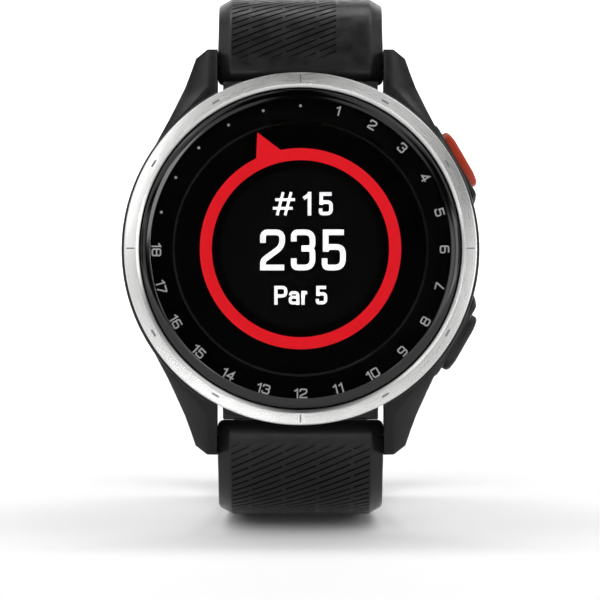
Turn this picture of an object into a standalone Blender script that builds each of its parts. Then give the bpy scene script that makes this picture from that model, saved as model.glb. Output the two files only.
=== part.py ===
"""Golf GPS watch with a two-piece quick-release band, opened at its buckle.

Axes: +X to the 3 o'clock side, +Y from the dial towards the wrist, +Z to 12 o'clock.
The origin is the centre of the flat case back. Dimensions below are in millimetres
and degrees; the mesh builders turn them into metres.
"""

import math

import bmesh
import bpy
from mathutils import Matrix, Vector

MM = 0.001

# Clearances
FIT_GAP = 0.2
SLIDING_GAP = 0.08

# Case, from the dial side (negative Y) to the back (Y = 0)
CASE_R = 21.85
CASE_FRONT_Y = -10.1
CASE_BACK_Y = -2.3
CASE_BACK_R = 20.9
CAVITY_R = 17.0
ROUND_STEPS = 48

# Lugs and the flat case ends between them
LUG_INNER_X = 10.2
BOSS_HALF_WIDTH = 9.45
BOSS_END_Z = 20.4
LUG_TIP_Z = 24.9
LUG_TIP_DROP = 4.5

# Bezel and glass
BEZEL_OUTER_R = 21.45
BEZEL_INNER_R = 19.62
BEZEL_TOP_Y = -12.0
BEZEL_BOTTOM_Y = -10.3
GLASS_R = 19.45
GLASS_TOP_Y = -12.3
GLASS_BACK_Y = -10.95
GLASS_RIM_WIDTH = 1.6
GLASS_RIM_DEPTH = 0.75

# Stack inside the case
DISPLAY_R = 15.3
FRAME_OUTER_R = 16.8
FRAME_INNER_R = 15.9
FRAME_FLOOR_FRONT_Y = -8.9
FRAME_FLOOR_BACK_Y = -8.3
BOARD_R = 15.5
BOARD_FRONT_Y = -7.8
BOARD_BACK_Y = -7.0
BOARD_SCREWS = ((-12.3, -1.5), (-4.0, -13.6))

# Rear cover
COVER_R = 20.2
COVER_FLAT_R = 15.0
COVER_FLANGE_Y = -2.1
COVER_INNER_Y = -1.2
COVER_SCREW_PITCH_R = 18.2
PORT_Z = 9.5
PORT_HALF_X = 4.3
PORT_HALF_Z = 1.9
CONTACT_PITCH = 1.8

# Push buttons, on axes that leave the case radially
BUTTON_ANGLES = {"upper": 30.0, "lower": -30.0}
BUTTON_Y = -6.0
BUTTON_LENGTH = 7.5
BUTTON_HEIGHT = 3.2
BUTTON_TOP_R = 23.3
BUTTON_BASE_R = 21.0
BUTTON_POCKET_R = 20.3
BUTTON_SHAFT_R = 0.75
BUTTON_SHAFT_END_R = 15.4

# Band, measured at the spring bars
BAR_Y = -3.4
BAR_Z = 22.4
BAR_R = 0.9
BAR_TIP_R = 0.42
BAR_HALF_LENGTH = 9.85
BAND_NOSE_R = 1.8
BAND_TAIL_HALF_THICKNESS = 1.3
BAND_LUG_HALF_WIDTH = 10.0
BAND_HALF_WIDTH = 10.15
BAND_TAIL_HALF_WIDTH = 9.0
BAND_CHAMFER_WIDTH = 1.65
BAND_CHAMFER_DEPTH = 1.0
# Runs of each half: ("straight", length) or ("arc", radius, heading reached).
# A heading is 0 along the case, away from it, and 90 straight back towards the wrist.
BAND_START_HEADING = 15.0
UPPER_RUNS = (
    ("straight", 1.5),
    ("arc", 8.5, 85.0),
    ("arc", 60.0, 104.0),
    ("arc", 20.0, 170.0),
    ("straight", 20.0),
)
LOWER_RUNS = (
    ("straight", 1.5),
    ("arc", 8.5, 85.0),
    ("arc", 110.0, 102.0),
    ("arc", 38.0, 165.0),
    ("straight", 14.0),
)
HOLE_COUNT = 12
HOLE_PITCH = 5.0
HOLE_FROM_TIP = 13.0
HOLE_R = 1.15

# Buckle
BUCKLE_BAR_R = 0.75
BUCKLE_EYE_R = 1.5
BUCKLE_INNER_HALF = 9.35
BUCKLE_OUTER_HALF = 11.2
BUCKLE_REACH = 10.6
KEEPER_LENGTH = 5.0
FIXED_KEEPER_FROM_END = 6.2
SLIDING_KEEPER_FROM_END = 12.6


# ---------------------------------------------------------------- scene helpers


def clear_scene():
    for old in list(bpy.data.objects):
        bpy.data.objects.remove(old, do_unlink=True)


def material(name, colour, roughness, metallic=0.0):
    made = bpy.data.materials.get(name)
    if made:
        return made
    made = bpy.data.materials.new(name)
    made.use_nodes = True
    shader = made.node_tree.nodes["Principled BSDF"]
    shader.inputs["Base Color"].default_value = (*colour, 1.0)
    shader.inputs["Roughness"].default_value = roughness
    shader.inputs["Metallic"].default_value = metallic
    return made


def case_polymer():
    return material("case_polymer", (0.035, 0.035, 0.037), 0.45)


def bezel_steel():
    return material("bezel_steel", (0.60, 0.60, 0.59), 0.28, 1.0)


def glass():
    return material("cover_glass", (0.02, 0.02, 0.022), 0.05)


def silicone():
    return material("band_silicone", (0.028, 0.028, 0.030), 0.55)


def gasket_rubber():
    return material("gasket_rubber", (0.02, 0.02, 0.02), 0.7)


def dark_steel():
    return material("buckle_steel", (0.09, 0.09, 0.10), 0.3, 1.0)


def bright_steel():
    return material("spring_steel", (0.55, 0.55, 0.56), 0.25, 1.0)


def link(name, mesh, look, parent=None, location=(0, 0, 0), rotation=(0, 0, 0)):
    """An object at a place in millimetres, with its rotation in radians."""
    obj = bpy.data.objects.new(name, mesh)
    bpy.context.scene.collection.objects.link(obj)
    if look:
        mesh.materials.append(look)
    obj.parent = parent
    obj.location = Vector(location) * MM
    obj.rotation_euler = rotation
    return obj


def axis_empty(name, location=(0, 0, 0), rotation=(0, 0, 0)):
    empty = bpy.data.objects.new(name, None)
    bpy.context.scene.collection.objects.link(empty)
    empty.empty_display_size = 5 * MM
    empty.location = Vector(location) * MM
    empty.rotation_euler = rotation
    return empty


def as_helper(obj):
    obj.hide_render = True
    obj.display_type = "WIRE"
    return obj


def boolean(obj, other, operation):
    as_helper(other)
    modifier = obj.modifiers.new(f"{operation.lower()}_{other.name}", "BOOLEAN")
    modifier.operation = operation
    modifier.solver = "EXACT"
    modifier.object = other


# ----------------------------------------------------------------- mesh builders


def finished(bm, name, smooth_angle=30.0):
    """The bmesh as a mesh in metres, with outward faces and its hard edges kept."""
    bmesh.ops.remove_doubles(bm, verts=bm.verts, dist=1e-5)
    bmesh.ops.scale(bm, vec=(MM, MM, MM), verts=bm.verts)
    bmesh.ops.recalc_face_normals(bm, faces=bm.faces)
    mesh = bpy.data.meshes.new(name)
    bm.to_mesh(mesh)
    bm.free()
    mesh.shade_smooth()
    mesh.set_sharp_from_angle(angle=math.radians(smooth_angle))
    return mesh


AXES = {"X": Vector((1, 0, 0)), "Y": Vector((0, 1, 0)), "Z": Vector((0, 0, 1))}


def turned(name, profile, axis="Y", steps=ROUND_STEPS, closed=False, turn=360.0):
    """Spins a profile of (radius, place along the axis) about that axis."""
    bm = bmesh.new()
    radial = AXES["X"] if axis != "X" else AXES["Z"]
    verts = [bm.verts.new(radial * r + AXES[axis] * along) for r, along in profile]
    ends = verts[1:] + verts[:1] if closed else verts[1:]
    edges = [bm.edges.new(pair) for pair in zip(verts, ends)]
    full = turn >= 360.0
    bmesh.ops.spin(
        bm,
        geom=verts + edges,
        cent=(0, 0, 0),
        axis=AXES[axis],
        angle=math.radians(turn),
        steps=steps,
        use_merge=full,
    )
    if not full:
        bmesh.ops.holes_fill(bm, edges=[e for e in bm.edges if e.is_boundary], sides=0)
    return finished(bm, name)


def lofted(name, rings, smooth_angle=30.0):
    """Joins rings of points, all of one length, and caps the two ends."""
    bm = bmesh.new()
    rows = [[bm.verts.new(point) for point in ring] for ring in rings]
    for row, following in zip(rows, rows[1:]):
        for i in range(len(row)):
            j = (i + 1) % len(row)
            bm.faces.new((row[i], row[j], following[j], following[i]))
    bm.faces.new(rows[0])
    bm.faces.new(rows[-1])
    return finished(bm, name, smooth_angle)


def prism(name, outline, low, high, along="Y", smooth_angle=30.0):
    """Extrudes an outline. Its points are (X, Z) for Y, (Y, Z) for X, (X, Y) for Z."""
    place = {
        "Y": lambda a, b, h: (a, h, b),
        "X": lambda a, b, h: (h, a, b),
        "Z": lambda a, b, h: (a, b, h),
    }[along]
    rings = [[place(a, b, level) for a, b in outline] for level in (low, high)]
    return lofted(name, rings, smooth_angle)


def rectangle(half_a, half_b, centre=(0.0, 0.0)):
    a, b = centre
    return (
        (a - half_a, b - half_b),
        (a + half_a, b - half_b),
        (a + half_a, b + half_b),
        (a - half_a, b + half_b),
    )


def box(name, low, high):
    half = [(b - a) / 2 for a, b in zip(low, high)]
    middle = [(a + b) / 2 for a, b in zip(low, high)]
    outline = rectangle(half[0], half[2], (middle[0], middle[2]))
    return prism(name, outline, low[1], high[1])


def arc_points(centre, radius, start, end, count):
    """Points on an arc from start to end degrees, both included."""
    angles = [start + (end - start) * i / (count - 1) for i in range(count)]
    return [
        (
            centre[0] + radius * math.cos(math.radians(a)),
            centre[1] + radius * math.sin(math.radians(a)),
        )
        for a in angles
    ]


def stadium(length, height, per_end=7):
    """A slot outline that lies along its second axis."""
    reach = (length - height) / 2
    upper = arc_points((0, reach), height / 2, 0, 180, per_end)
    lower = arc_points((0, -reach), height / 2, 180, 360, per_end)
    return upper + lower


def rounded_rectangle(half_a, half_b, radius, per_corner=4):
    corners = ((1, 1, 0), (-1, 1, 90), (-1, -1, 180), (1, -1, 270))
    points = []
    for side_a, side_b, start in corners:
        centre = (side_a * (half_a - radius), side_b * (half_b - radius))
        points += arc_points(centre, radius, start, start + 90, per_corner)
    return points


def cylinder(name, radius, low, high, axis="Y", steps=16):
    return turned(name, ((0, high), (radius, high), (radius, low), (0, low)), axis, steps)


# --------------------------------------------------------------------- the case


def lug_section(z, outer_x, crease_x, back_y):
    """One slice of the lug at 1 to 2 o'clock: flat inner facet, sloping outer facet."""
    reach = max(0.0, z - 14.0) / (LUG_TIP_Z - 14.0)
    front_y = CASE_FRONT_Y + 0.3 + LUG_TIP_DROP * reach**1.6
    slope = 0.8 * (outer_x - crease_x)
    return [
        (LUG_INNER_X, front_y, z),
        (crease_x, front_y, z),
        (outer_x, front_y + slope, z),
        (outer_x - 0.5, back_y, z),
        (LUG_INNER_X, back_y, z),
    ]


def lug_mesh(name, side_x, side_z):
    slices = (
        (10.0, 17.4, 17.2, CASE_BACK_Y - 0.1),
        (12.8, 17.75, 17.2, CASE_BACK_Y - 0.1),
        (15.7, 16.2, 15.3, CASE_BACK_Y - 0.1),
        (17.3, 15.45, 13.75, CASE_BACK_Y - 0.1),
        (20.1, 14.2, 11.4, -1.2),
        (22.0, 13.5, 11.37, -1.2),
        (23.8, 12.9, 11.37, -1.3),
        (LUG_TIP_Z, 11.5, 11.3, -1.8),
    )
    rings = []
    for one in slices:
        rings.append([(side_x * x, y, side_z * z) for x, y, z in lug_section(*one)])
    return lofted(name, rings)


def add_lugs(case):
    for side_x in (-1, 1):
        for side_z in (-1, 1):
            name = f"lug_{'right' if side_x > 0 else 'left'}_{'top' if side_z > 0 else 'foot'}"
            boolean(case, link(name, lug_mesh(name, side_x, side_z), None), "UNION")


def add_case_ends(case):
    """The flat-ended block behind each band end, and the slots beside it."""
    for label, side in (("top", 1), ("foot", -1)):
        low, high = sorted((side * 15.0, side * BOSS_END_Z))
        end = box(
            f"end_{label}",
            (-BOSS_HALF_WIDTH, CASE_FRONT_Y + 0.9, low),
            (BOSS_HALF_WIDTH, CASE_BACK_Y - 0.1, high),
        )
        trim_low, trim_high = sorted((side * BOSS_END_Z, side * 26.0))
        trim = box(f"trim_{label}", (-LUG_INNER_X, -14.0, trim_low), (LUG_INNER_X, 3.0, trim_high))
        boolean(case, link(f"trim_{label}", trim, None), "DIFFERENCE")
        boolean(case, link(f"end_{label}", end, None), "UNION")
        slot_low, slot_high = sorted((side * 18.8, side * 23.0))
        for side_x in (-1, 1):
            x_low, x_high = sorted((side_x * BOSS_HALF_WIDTH, side_x * LUG_INNER_X))
            name = f"slot_{label}_{'right' if side_x > 0 else 'left'}"
            slot = box(name, (x_low, -14.0, slot_low), (x_high, 3.0, slot_high))
            boolean(case, link(name, slot, None), "DIFFERENCE")


def add_button_guards(case, axes):
    for label, axis in axes.items():
        outline = ((18.5, -5.8), (20.6, -5.8), (22.1, -4.6), (22.1, 4.6), (20.6, 5.8), (18.5, 5.8))
        guard = prism(f"guard_{label}", outline, BUTTON_Y - 2.6, BUTTON_Y + 2.5)
        boolean(case, link(f"guard_{label}", guard, None, axis), "UNION")


def cut_button_passages(case, axes):
    """A pocket for the cap, steps for the spring and the seal, and the shaft's bore."""
    slot = stadium(BUTTON_LENGTH + 0.4, BUTTON_HEIGHT + 0.4)
    ring_pocket = [(a + BUTTON_Y, b) for a, b in slot]
    passage = (
        (0, 24.0),
        (1.8, 24.0),
        (1.8, 19.2),
        (1.38, 19.2),
        (1.38, 18.2),
        (BUTTON_SHAFT_R + SLIDING_GAP, 18.2),
        (BUTTON_SHAFT_R + SLIDING_GAP, 15.0),
        (0, 15.0),
    )
    for label, axis in axes.items():
        pocket = prism(f"pocket_{label}", ring_pocket, BUTTON_POCKET_R, 25.0, along="X")
        boolean(case, link(f"pocket_{label}", pocket, None, axis), "DIFFERENCE")
        bore = turned(f"passage_{label}", passage, "X", 16)
        boolean(case, link(f"passage_{label}", bore, None, axis, (0, BUTTON_Y, 0)), "DIFFERENCE")


def cut_bar_holes(case):
    for label, side in (("top", 1), ("foot", -1)):
        for side_x in (-1, 1):
            low, high = sorted((side_x * 9.9, side_x * 11.7))
            name = f"bar_hole_{label}_{'right' if side_x > 0 else 'left'}"
            hole = cylinder(name, BAR_TIP_R + SLIDING_GAP, low, high, "X", 12)
            place = (0, BAR_Y, side * BAR_Z)
            boolean(case, link(name, hole, None, None, place), "DIFFERENCE")


def cover_screw_places():
    for number, angle in enumerate((45, 135, 225, 315), start=1):
        turn = math.radians(angle)
        yield number, COVER_SCREW_PITCH_R * math.cos(turn), COVER_SCREW_PITCH_R * math.sin(turn)


def make_mid_case(axes):
    profile = (
        (0, CASE_BACK_Y),
        (CASE_BACK_R, CASE_BACK_Y),
        (21.5, -4.6),
        (CASE_R, -7.4),
        (CASE_R, -9.6),
        (21.5, CASE_FRONT_Y),
        (0, CASE_FRONT_Y),
    )
    case = link("mid_case", turned("mid_case", profile, steps=64), case_polymer())
    add_case_ends(case)
    add_lugs(case)
    add_button_guards(case, axes)
    cavity = turned("cavity", ((0, 2), (CAVITY_R, 2), (CAVITY_R, -14), (0, -14)))
    boolean(case, link("cavity", cavity, None), "DIFFERENCE")
    cut_button_passages(case, axes)
    cut_bar_holes(case)
    for number, x, z in cover_screw_places():
        hole = cylinder(f"case_screw_hole_{number}", 0.68, -6.0, 0.0, steps=12)
        helper = link(f"case_screw_hole_{number}", hole, None, None, (x, 0, z))
        boolean(case, helper, "DIFFERENCE")


# -------------------------------------------------------------- bezel and glass


def make_bezel():
    profile = (
        (BEZEL_INNER_R, BEZEL_BOTTOM_Y),
        (BEZEL_OUTER_R, BEZEL_BOTTOM_Y),
        (BEZEL_OUTER_R, BEZEL_TOP_Y + 0.3),
        (BEZEL_OUTER_R - 0.3, BEZEL_TOP_Y),
        (BEZEL_INNER_R + 0.4, BEZEL_TOP_Y),
        (BEZEL_INNER_R, BEZEL_TOP_Y + 0.25),
    )
    link("bezel_ring", turned("bezel_ring", profile, steps=64, closed=True), bezel_steel())


def make_glass():
    """A disc whose rim is rounded off as a quarter of an ellipse."""
    profile = [(0, GLASS_BACK_Y), (GLASS_R, GLASS_BACK_Y)]
    for across, rise in arc_points((0, 0), 1.0, 360, 270, 4):
        r = GLASS_R - GLASS_RIM_WIDTH * (1 - across)
        y = GLASS_TOP_Y + GLASS_RIM_DEPTH * (1 + rise)
        profile.append((r, y))
    profile.append((0, GLASS_TOP_Y))
    link("cover_glass", turned("cover_glass", profile), glass())


def make_glass_gasket():
    profile = ((18.3, -10.3), (19.3, -10.3), (19.3, -10.8), (18.3, -10.8))
    link("glass_gasket", turned("glass_gasket", profile, closed=True), gasket_rubber())


# --------------------------------------------------------- display and electronics


def make_number_ring():
    look = material("number_ring", (0.015, 0.015, 0.017), 0.4)
    profile = ((15.6, -10.55), (18.1, -10.55), (18.1, -10.8), (15.6, -10.8))
    link("number_ring", turned("number_ring", profile, closed=True), look)


def make_display():
    look = material("display", (0.01, 0.01, 0.012), 0.3)
    profile = (
        (0, -9.3),
        (DISPLAY_R - 0.6, -9.3),
        (DISPLAY_R - 0.6, -10.2),
        (DISPLAY_R, -10.2),
        (DISPLAY_R, -10.8),
        (0, -10.8),
    )
    link("display_module", turned("display_module", profile), look)


def make_display_flex():
    """A ribbon that folds through the frame's slot, from the display to the board."""
    look = material("flex_polyimide", (0.35, 0.17, 0.04), 0.4)
    outside = ((-9.2, 9.0), (-9.2, 15.2), (-7.95, 15.2), (-7.95, 11.0))
    inside = ((-8.07, 11.0), (-8.07, 15.08), (-9.08, 15.08), (-9.08, 9.0))
    flex = prism("display_flex", outside + inside, -3.0, 3.0, along="X")
    link("display_flex", flex, look)


def make_inner_frame(axes):
    look = material("frame_polymer", (0.05, 0.05, 0.055), 0.6)
    profile = (
        (0, FRAME_FLOOR_BACK_Y),
        (FRAME_INNER_R, FRAME_FLOOR_BACK_Y),
        (FRAME_INNER_R, -3.0),
        (FRAME_OUTER_R, -3.0),
        (FRAME_OUTER_R, -10.0),
        (FRAME_INNER_R, -10.0),
        (FRAME_INNER_R, FRAME_FLOOR_FRONT_Y),
        (0, FRAME_FLOOR_FRONT_Y),
    )
    frame = link("inner_frame", turned("inner_frame", profile), look)
    slot = box("flex_slot", (-3.4, -10.0, 14.6), (3.4, -7.0, 15.7))
    boolean(frame, link("flex_slot", slot, None), "DIFFERENCE")
    for label, axis in axes.items():
        window = prism(f"window_{label}", rectangle(2.2, 3.0, (BUTTON_Y, 0)), 14.0, 18.0, along="X")
        boolean(frame, link(f"window_{label}", window, None, axis), "DIFFERENCE")
    for number, (x, z) in enumerate(BOARD_SCREWS, start=1):
        hole = cylinder(f"frame_screw_hole_{number}", 0.58, -10.5, -7.5, steps=12)
        boolean(frame, link(f"frame_screw_hole_{number}", hole, None, None, (x, 0, z)), "DIFFERENCE")


def make_antenna():
    look = material("antenna_copper", (0.55, 0.30, 0.16), 0.35, 1.0)
    profile = ((16.0, -10.2), (16.7, -10.2), (16.7, -10.4), (16.0, -10.4))
    strip = turned("gps_antenna", profile, steps=40, closed=True, turn=300.0)
    link("gps_antenna", strip, look)


def make_board():
    look = material("board_laminate", (0.01, 0.10, 0.04), 0.5)
    board = link("main_board", cylinder("main_board", BOARD_R, BOARD_FRONT_Y, BOARD_BACK_Y, steps=40), look)
    for number, (x, z) in enumerate(BOARD_SCREWS, start=1):
        hole = cylinder(f"board_hole_{number}", 0.62, -9.0, -6.0, steps=12)
        boolean(board, link(f"board_hole_{number}", hole, None, None, (x, 0, z)), "DIFFERENCE")
    for number, (x, z) in enumerate(BOARD_SCREWS, start=1):
        screw = screw_mesh(f"board_screw_{number}", 1.0, 0.5, 0.6, 1.9)
        link(f"board_screw_{number}", screw, bright_steel(), None, (x, BOARD_BACK_Y + 0.7, z))


def make_shield_can():
    look = material("shield_tin", (0.6, 0.6, 0.58), 0.35, 1.0)
    outline = rounded_rectangle(5.2, 4.0, 0.6, 3)
    walls = prism("shield_can", outline, BOARD_BACK_Y + 0.15, BOARD_BACK_Y + 1.6)
    can = link("shield_can", walls, look, None, (-4.6, 0, 7.5))
    hollow = box("shield_hollow", (-4.95, BOARD_BACK_Y - 1.0, -3.75), (4.95, BOARD_BACK_Y + 1.4, 3.75))
    boolean(can, link("shield_hollow", hollow, None, None, (-4.6, 0, 7.5)), "DIFFERENCE")


def make_battery():
    look = material("battery_pouch", (0.45, 0.46, 0.48), 0.4)
    bm = bmesh.new()
    bmesh.ops.create_cube(bm, size=1.0)
    bmesh.ops.scale(bm, vec=(19.0, 3.6, 14.0), verts=bm.verts)
    bmesh.ops.bevel(bm, geom=bm.edges, offset=0.7, segments=2, affect="EDGES")
    link("battery", finished(bm, "battery"), look, None, (0, -4.95, -5.0))


def make_vibration_motor():
    look = material("motor_steel", (0.5, 0.5, 0.5), 0.3, 1.0)
    profile = ((0, -4.3), (3.6, -4.3), (4.0, -4.6), (4.0, -6.8), (0, -6.8))
    link("vibration_motor", turned("vibration_motor", profile, steps=24), look, None, (5.4, 0, 9.9))


# ------------------------------------------------------------------- rear cover


def screw_mesh(name, head_r, shank_r, head_height, length):
    """A pan head whose top is at 0, with the shank running towards the dial."""
    profile = (
        (0, -0.35),
        (head_r * 0.45, -0.35),
        (head_r * 0.45, 0),
        (head_r * 0.85, 0),
        (head_r, -0.15),
        (head_r, -head_height),
        (shank_r, -head_height),
        (shank_r, -length + 0.3),
        (shank_r * 0.5, -length),
        (0, -length),
    )
    return turned(name, profile, steps=14)


def make_rear_cover():
    profile = (
        (0, 0),
        (COVER_FLAT_R, 0),
        (18.9, -0.75),
        (COVER_R, -1.3),
        (COVER_R, COVER_FLANGE_Y),
        (16.3, COVER_FLANGE_Y),
        (16.3, -2.8),
        (15.6, -2.8),
        (15.6, COVER_INNER_Y),
        (0, COVER_INNER_Y),
    )
    cover = link("rear_cover", turned("rear_cover", profile), case_polymer())
    for number, x, z in cover_screw_places():
        steps = ((0, 1.0), (1.15, 1.0), (1.15, -1.35), (0.72, -1.35), (0.72, -4.0), (0, -4.0))
        hole = turned(f"cover_screw_hole_{number}", steps, steps=14)
        boolean(cover, link(f"cover_screw_hole_{number}", hole, None, None, (x, 0, z)), "DIFFERENCE")
        screw = screw_mesh(f"rear_screw_{number}", 1.0, 0.6, 0.55, 3.6)
        link(f"rear_screw_{number}", screw, bright_steel(), None, (x, -0.78, z))
    opening = box("port_opening", (-PORT_HALF_X, -4.0, -PORT_HALF_Z), (PORT_HALF_X, 2.0, PORT_HALF_Z))
    boolean(cover, link("port_opening", opening, None, None, (0, 0, PORT_Z)), "DIFFERENCE")


def make_rear_gasket():
    profile = ((16.45, -2.3), (16.85, -2.3), (16.85, -2.8), (16.45, -2.8))
    link("rear_gasket", turned("rear_gasket", profile, closed=True), gasket_rubber())


def make_charge_port():
    half_x = PORT_HALF_X - FIT_GAP
    half_z = PORT_HALF_Z - FIT_GAP
    block = prism("charge_port", rounded_rectangle(half_x, half_z, 0.5, 3), -2.6, -0.7)
    port = link("charge_port", block, case_polymer(), None, (0, 0, PORT_Z))
    gold = material("contact_gold", (0.83, 0.60, 0.25), 0.25, 1.0)
    for number in range(1, 5):
        x = (number - 2.5) * CONTACT_PITCH
        hole = cylinder(f"contact_hole_{number}", 0.55, -4.0, 1.0, steps=12)
        boolean(port, link(f"contact_hole_{number}", hole, None, None, (x, 0, PORT_Z)), "DIFFERENCE")
        pin = ((0, -0.95), (0.35, -0.95), (0.47, -1.1), (0.47, -3.2), (0, -3.2))
        contact = turned(f"charge_contact_{number}", pin, steps=12)
        link(f"charge_contact_{number}", contact, gold, None, (x, 0, PORT_Z))


# ---------------------------------------------------------------------- buttons


def spring_mesh(name, start, end, radius, wire_r, turns):
    """A round-wire helix about local X."""
    sides = 6
    per_turn = 9
    steps = per_turn * turns
    rings = []
    for i in range(steps + 1):
        angle = 2 * math.pi * i / per_turn
        x = start + (end - start) * i / steps
        centre = Vector((x, radius * math.cos(angle), radius * math.sin(angle)))
        outward = Vector((0, math.cos(angle), math.sin(angle)))
        ring = []
        for side in range(sides):
            turn = 2 * math.pi * side / sides
            ring.append(centre + outward * wire_r * math.cos(turn) + AXES["X"] * wire_r * math.sin(turn))
        rings.append(ring)
    return lofted(name, rings)


def button_cap_mesh(name):
    """A slot-shaped cap with a crowned face, on a grooved shaft."""
    cap_levels = (
        (BUTTON_BASE_R, 0.0),
        (BUTTON_TOP_R - 0.45, 0.0),
        (BUTTON_TOP_R - 0.12, 0.25),
        (BUTTON_TOP_R, 0.65),
    )
    rings = []
    for level, inset in cap_levels:
        outline = stadium(BUTTON_LENGTH - 2 * inset, BUTTON_HEIGHT - 2 * inset)
        rings.append([(level, a, b) for a, b in outline])
    return lofted(name, rings)


def make_button(label, axis):
    colour = material("button_orange", (0.55, 0.075, 0.025), 0.38) if label == "upper" else case_polymer()
    at = (0, BUTTON_Y, 0)
    button = link(f"{label}_button", button_cap_mesh(f"{label}_button"), colour, axis, at)
    shaft = (
        (0, BUTTON_BASE_R + 1.0),
        (BUTTON_SHAFT_R, BUTTON_BASE_R + 1.0),
        (BUTTON_SHAFT_R, 16.8),
        (0.5, 16.8),
        (0.5, 16.3),
        (BUTTON_SHAFT_R, 16.3),
        (BUTTON_SHAFT_R, BUTTON_SHAFT_END_R),
        (0, BUTTON_SHAFT_END_R),
    )
    stem = link(f"{label}_stem", turned(f"{label}_stem", shaft, "X", 16), None, axis, at)
    boolean(button, stem, "UNION")

    seal = ((0.82, 18.35), (1.05, 18.3), (1.3, 18.5), (1.3, 18.8), (1.05, 19.0), (0.82, 18.95))
    seal_mesh = turned(f"{label}_button_seal", seal, "X", 16, closed=True)
    link(f"{label}_button_seal", seal_mesh, gasket_rubber(), axis, at)

    spring = spring_mesh(f"{label}_button_spring", 19.4, 20.8, 1.4, 0.14, 3)
    link(f"{label}_button_spring", spring, bright_steel(), axis, at)

    clip = ((0.6, 16.4), (1.45, 16.4), (1.45, 16.7), (0.6, 16.7))
    clip_mesh = turned(f"{label}_button_clip", clip, "X", 14, closed=True, turn=280.0)
    link(f"{label}_button_clip", clip_mesh, bright_steel(), axis, at)

    look = material("switch_body", (0.06, 0.06, 0.06), 0.5)
    body = rectangle(0.85, 2.3)
    plunger = rectangle(0.45, 0.8)
    levels = ((12.8, body), (14.6, body), (14.6, plunger), (14.85, plunger))
    rings = [[(level, a, b) for a, b in outline] for level, outline in levels]
    link(f"{label}_button_switch", lofted(f"{label}_button_switch", rings), look, axis, at)


# ------------------------------------------------------------------------- band


def band_route(runs):
    """Joints of the centre line as (distance, y, z, heading), from the spring bar."""
    knots = [(0.0, 0.0, 0.0, math.radians(BAND_START_HEADING), 0.0)]
    for run in runs:
        distance, y, z, heading, _ = knots[-1]
        if run[0] == "straight":
            bend = 0.0
            length = run[1]
        else:
            bend = 1.0 / run[1]
            length = run[1] * (math.radians(run[2]) - heading)
        knots[-1] = (distance, y, z, heading, bend)
        y, z, heading = advance(y, z, heading, bend, length)
        knots.append((distance + length, y, z, heading, 0.0))
    return knots


def advance(y, z, heading, bend, length):
    if bend == 0.0:
        return y + length * math.sin(heading), z + length * math.cos(heading), heading
    turned_to = heading + bend * length
    y += (math.cos(heading) - math.cos(turned_to)) / bend
    z += (math.sin(turned_to) - math.sin(heading)) / bend
    return y, z, turned_to


def band_point(route, distance):
    """(y, z, heading) on the centre line; it runs on straight past either end."""
    knot = route[0]
    for candidate in route:
        if candidate[0] <= distance:
            knot = candidate
    bend = knot[4] if distance >= 0 else 0.0
    return advance(knot[1], knot[2], knot[3], bend, distance - knot[0])


def band_offset(route, distance, lift):
    """The point that is lift above the centre line, on the outer side."""
    y, z, heading = band_point(route, distance)
    return y - lift * math.cos(heading), z + lift * math.sin(heading), heading


def blend(value, low, high):
    """0 below low, 1 above high, smooth between them."""
    t = min(1.0, max(0.0, (value - low) / (high - low)))
    return t * t * (3 - 2 * t)


def band_section(route, distance, half_width, half_thickness, side):
    bevel = min(BAND_CHAMFER_DEPTH, 0.6 * half_thickness)
    soft = min(0.35, 0.3 * half_thickness)
    narrow = half_width - min(BAND_CHAMFER_WIDTH, 0.8 * half_width)
    corners = (
        (-half_width, soft - half_thickness),
        (soft - half_width, -half_thickness),
        (half_width - soft, -half_thickness),
        (half_width, soft - half_thickness),
        (half_width, half_thickness - bevel),
        (narrow, half_thickness),
        (-narrow, half_thickness),
        (-half_width, half_thickness - bevel),
    )
    ring = []
    for x, lift in corners:
        y, z, _ = band_offset(route, distance, lift)
        ring.append((x, y, side * z))
    return ring


def band_half_width(distance):
    wide = BAND_LUG_HALF_WIDTH + (BAND_HALF_WIDTH - BAND_LUG_HALF_WIDTH) * blend(distance, 2.5, 5.0)
    return wide + (BAND_TAIL_HALF_WIDTH - wide) * blend(distance, 12.0, 45.0)


def band_half_thickness(distance):
    middle = BAND_NOSE_R + (1.45 - BAND_NOSE_R) * blend(distance, 2.0, 16.0)
    return middle + (BAND_TAIL_HALF_THICKNESS - middle) * blend(distance, 25.0, 60.0)


def stations(length):
    """Slices close together round the first bend and twice as far apart after it."""
    pitch = 1.75
    places = [0.0, 1.5]
    while places[-1] < 12.0:
        places.append(places[-1] + pitch)
    while places[-1] < length - 4.5:
        places.append(places[-1] + 2 * pitch)
    return places


def nose_rings(route, side, end=0.0, radius=BAND_NOSE_R, towards=-1, width=BAND_LUG_HALF_WIDTH):
    """Slices that round off an end of the band about its bar."""
    rings = []
    for angle, inset in ((82, 0.9), (60, 0.35), (35, 0.08)):
        turn = math.radians(angle)
        place = end + towards * radius * math.sin(turn)
        rings.append(band_section(route, place, width - inset, radius * math.cos(turn), side))
    return rings if towards < 0 else rings[::-1]


def cut_bar_bore(band, label, place=(0, 0, 0), radius=BAR_R + SLIDING_GAP):
    bore = cylinder(f"bore_{label}", radius, -12.0, 12.0, "X", 16)
    boolean(band, link(f"bore_{label}", bore, None, band.parent, place), "DIFFERENCE")


def cut_release_notch(band, label, route, side):
    """The pocket on the wrist side in which the quick-release lever travels."""
    corners = ((-1.3, 0.6), (1.3, 0.6), (1.3, -3.5), (-1.3, -3.5))
    outline = []
    for along, lift in corners:
        y, z, _ = band_offset(route[:1], along, lift)
        outline.append((y, side * z))
    notch = prism(f"notch_{label}", outline, 4.3, 8.4, along="X")
    boolean(band, link(f"notch_{label}", notch, None, band.parent), "DIFFERENCE")


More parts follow.
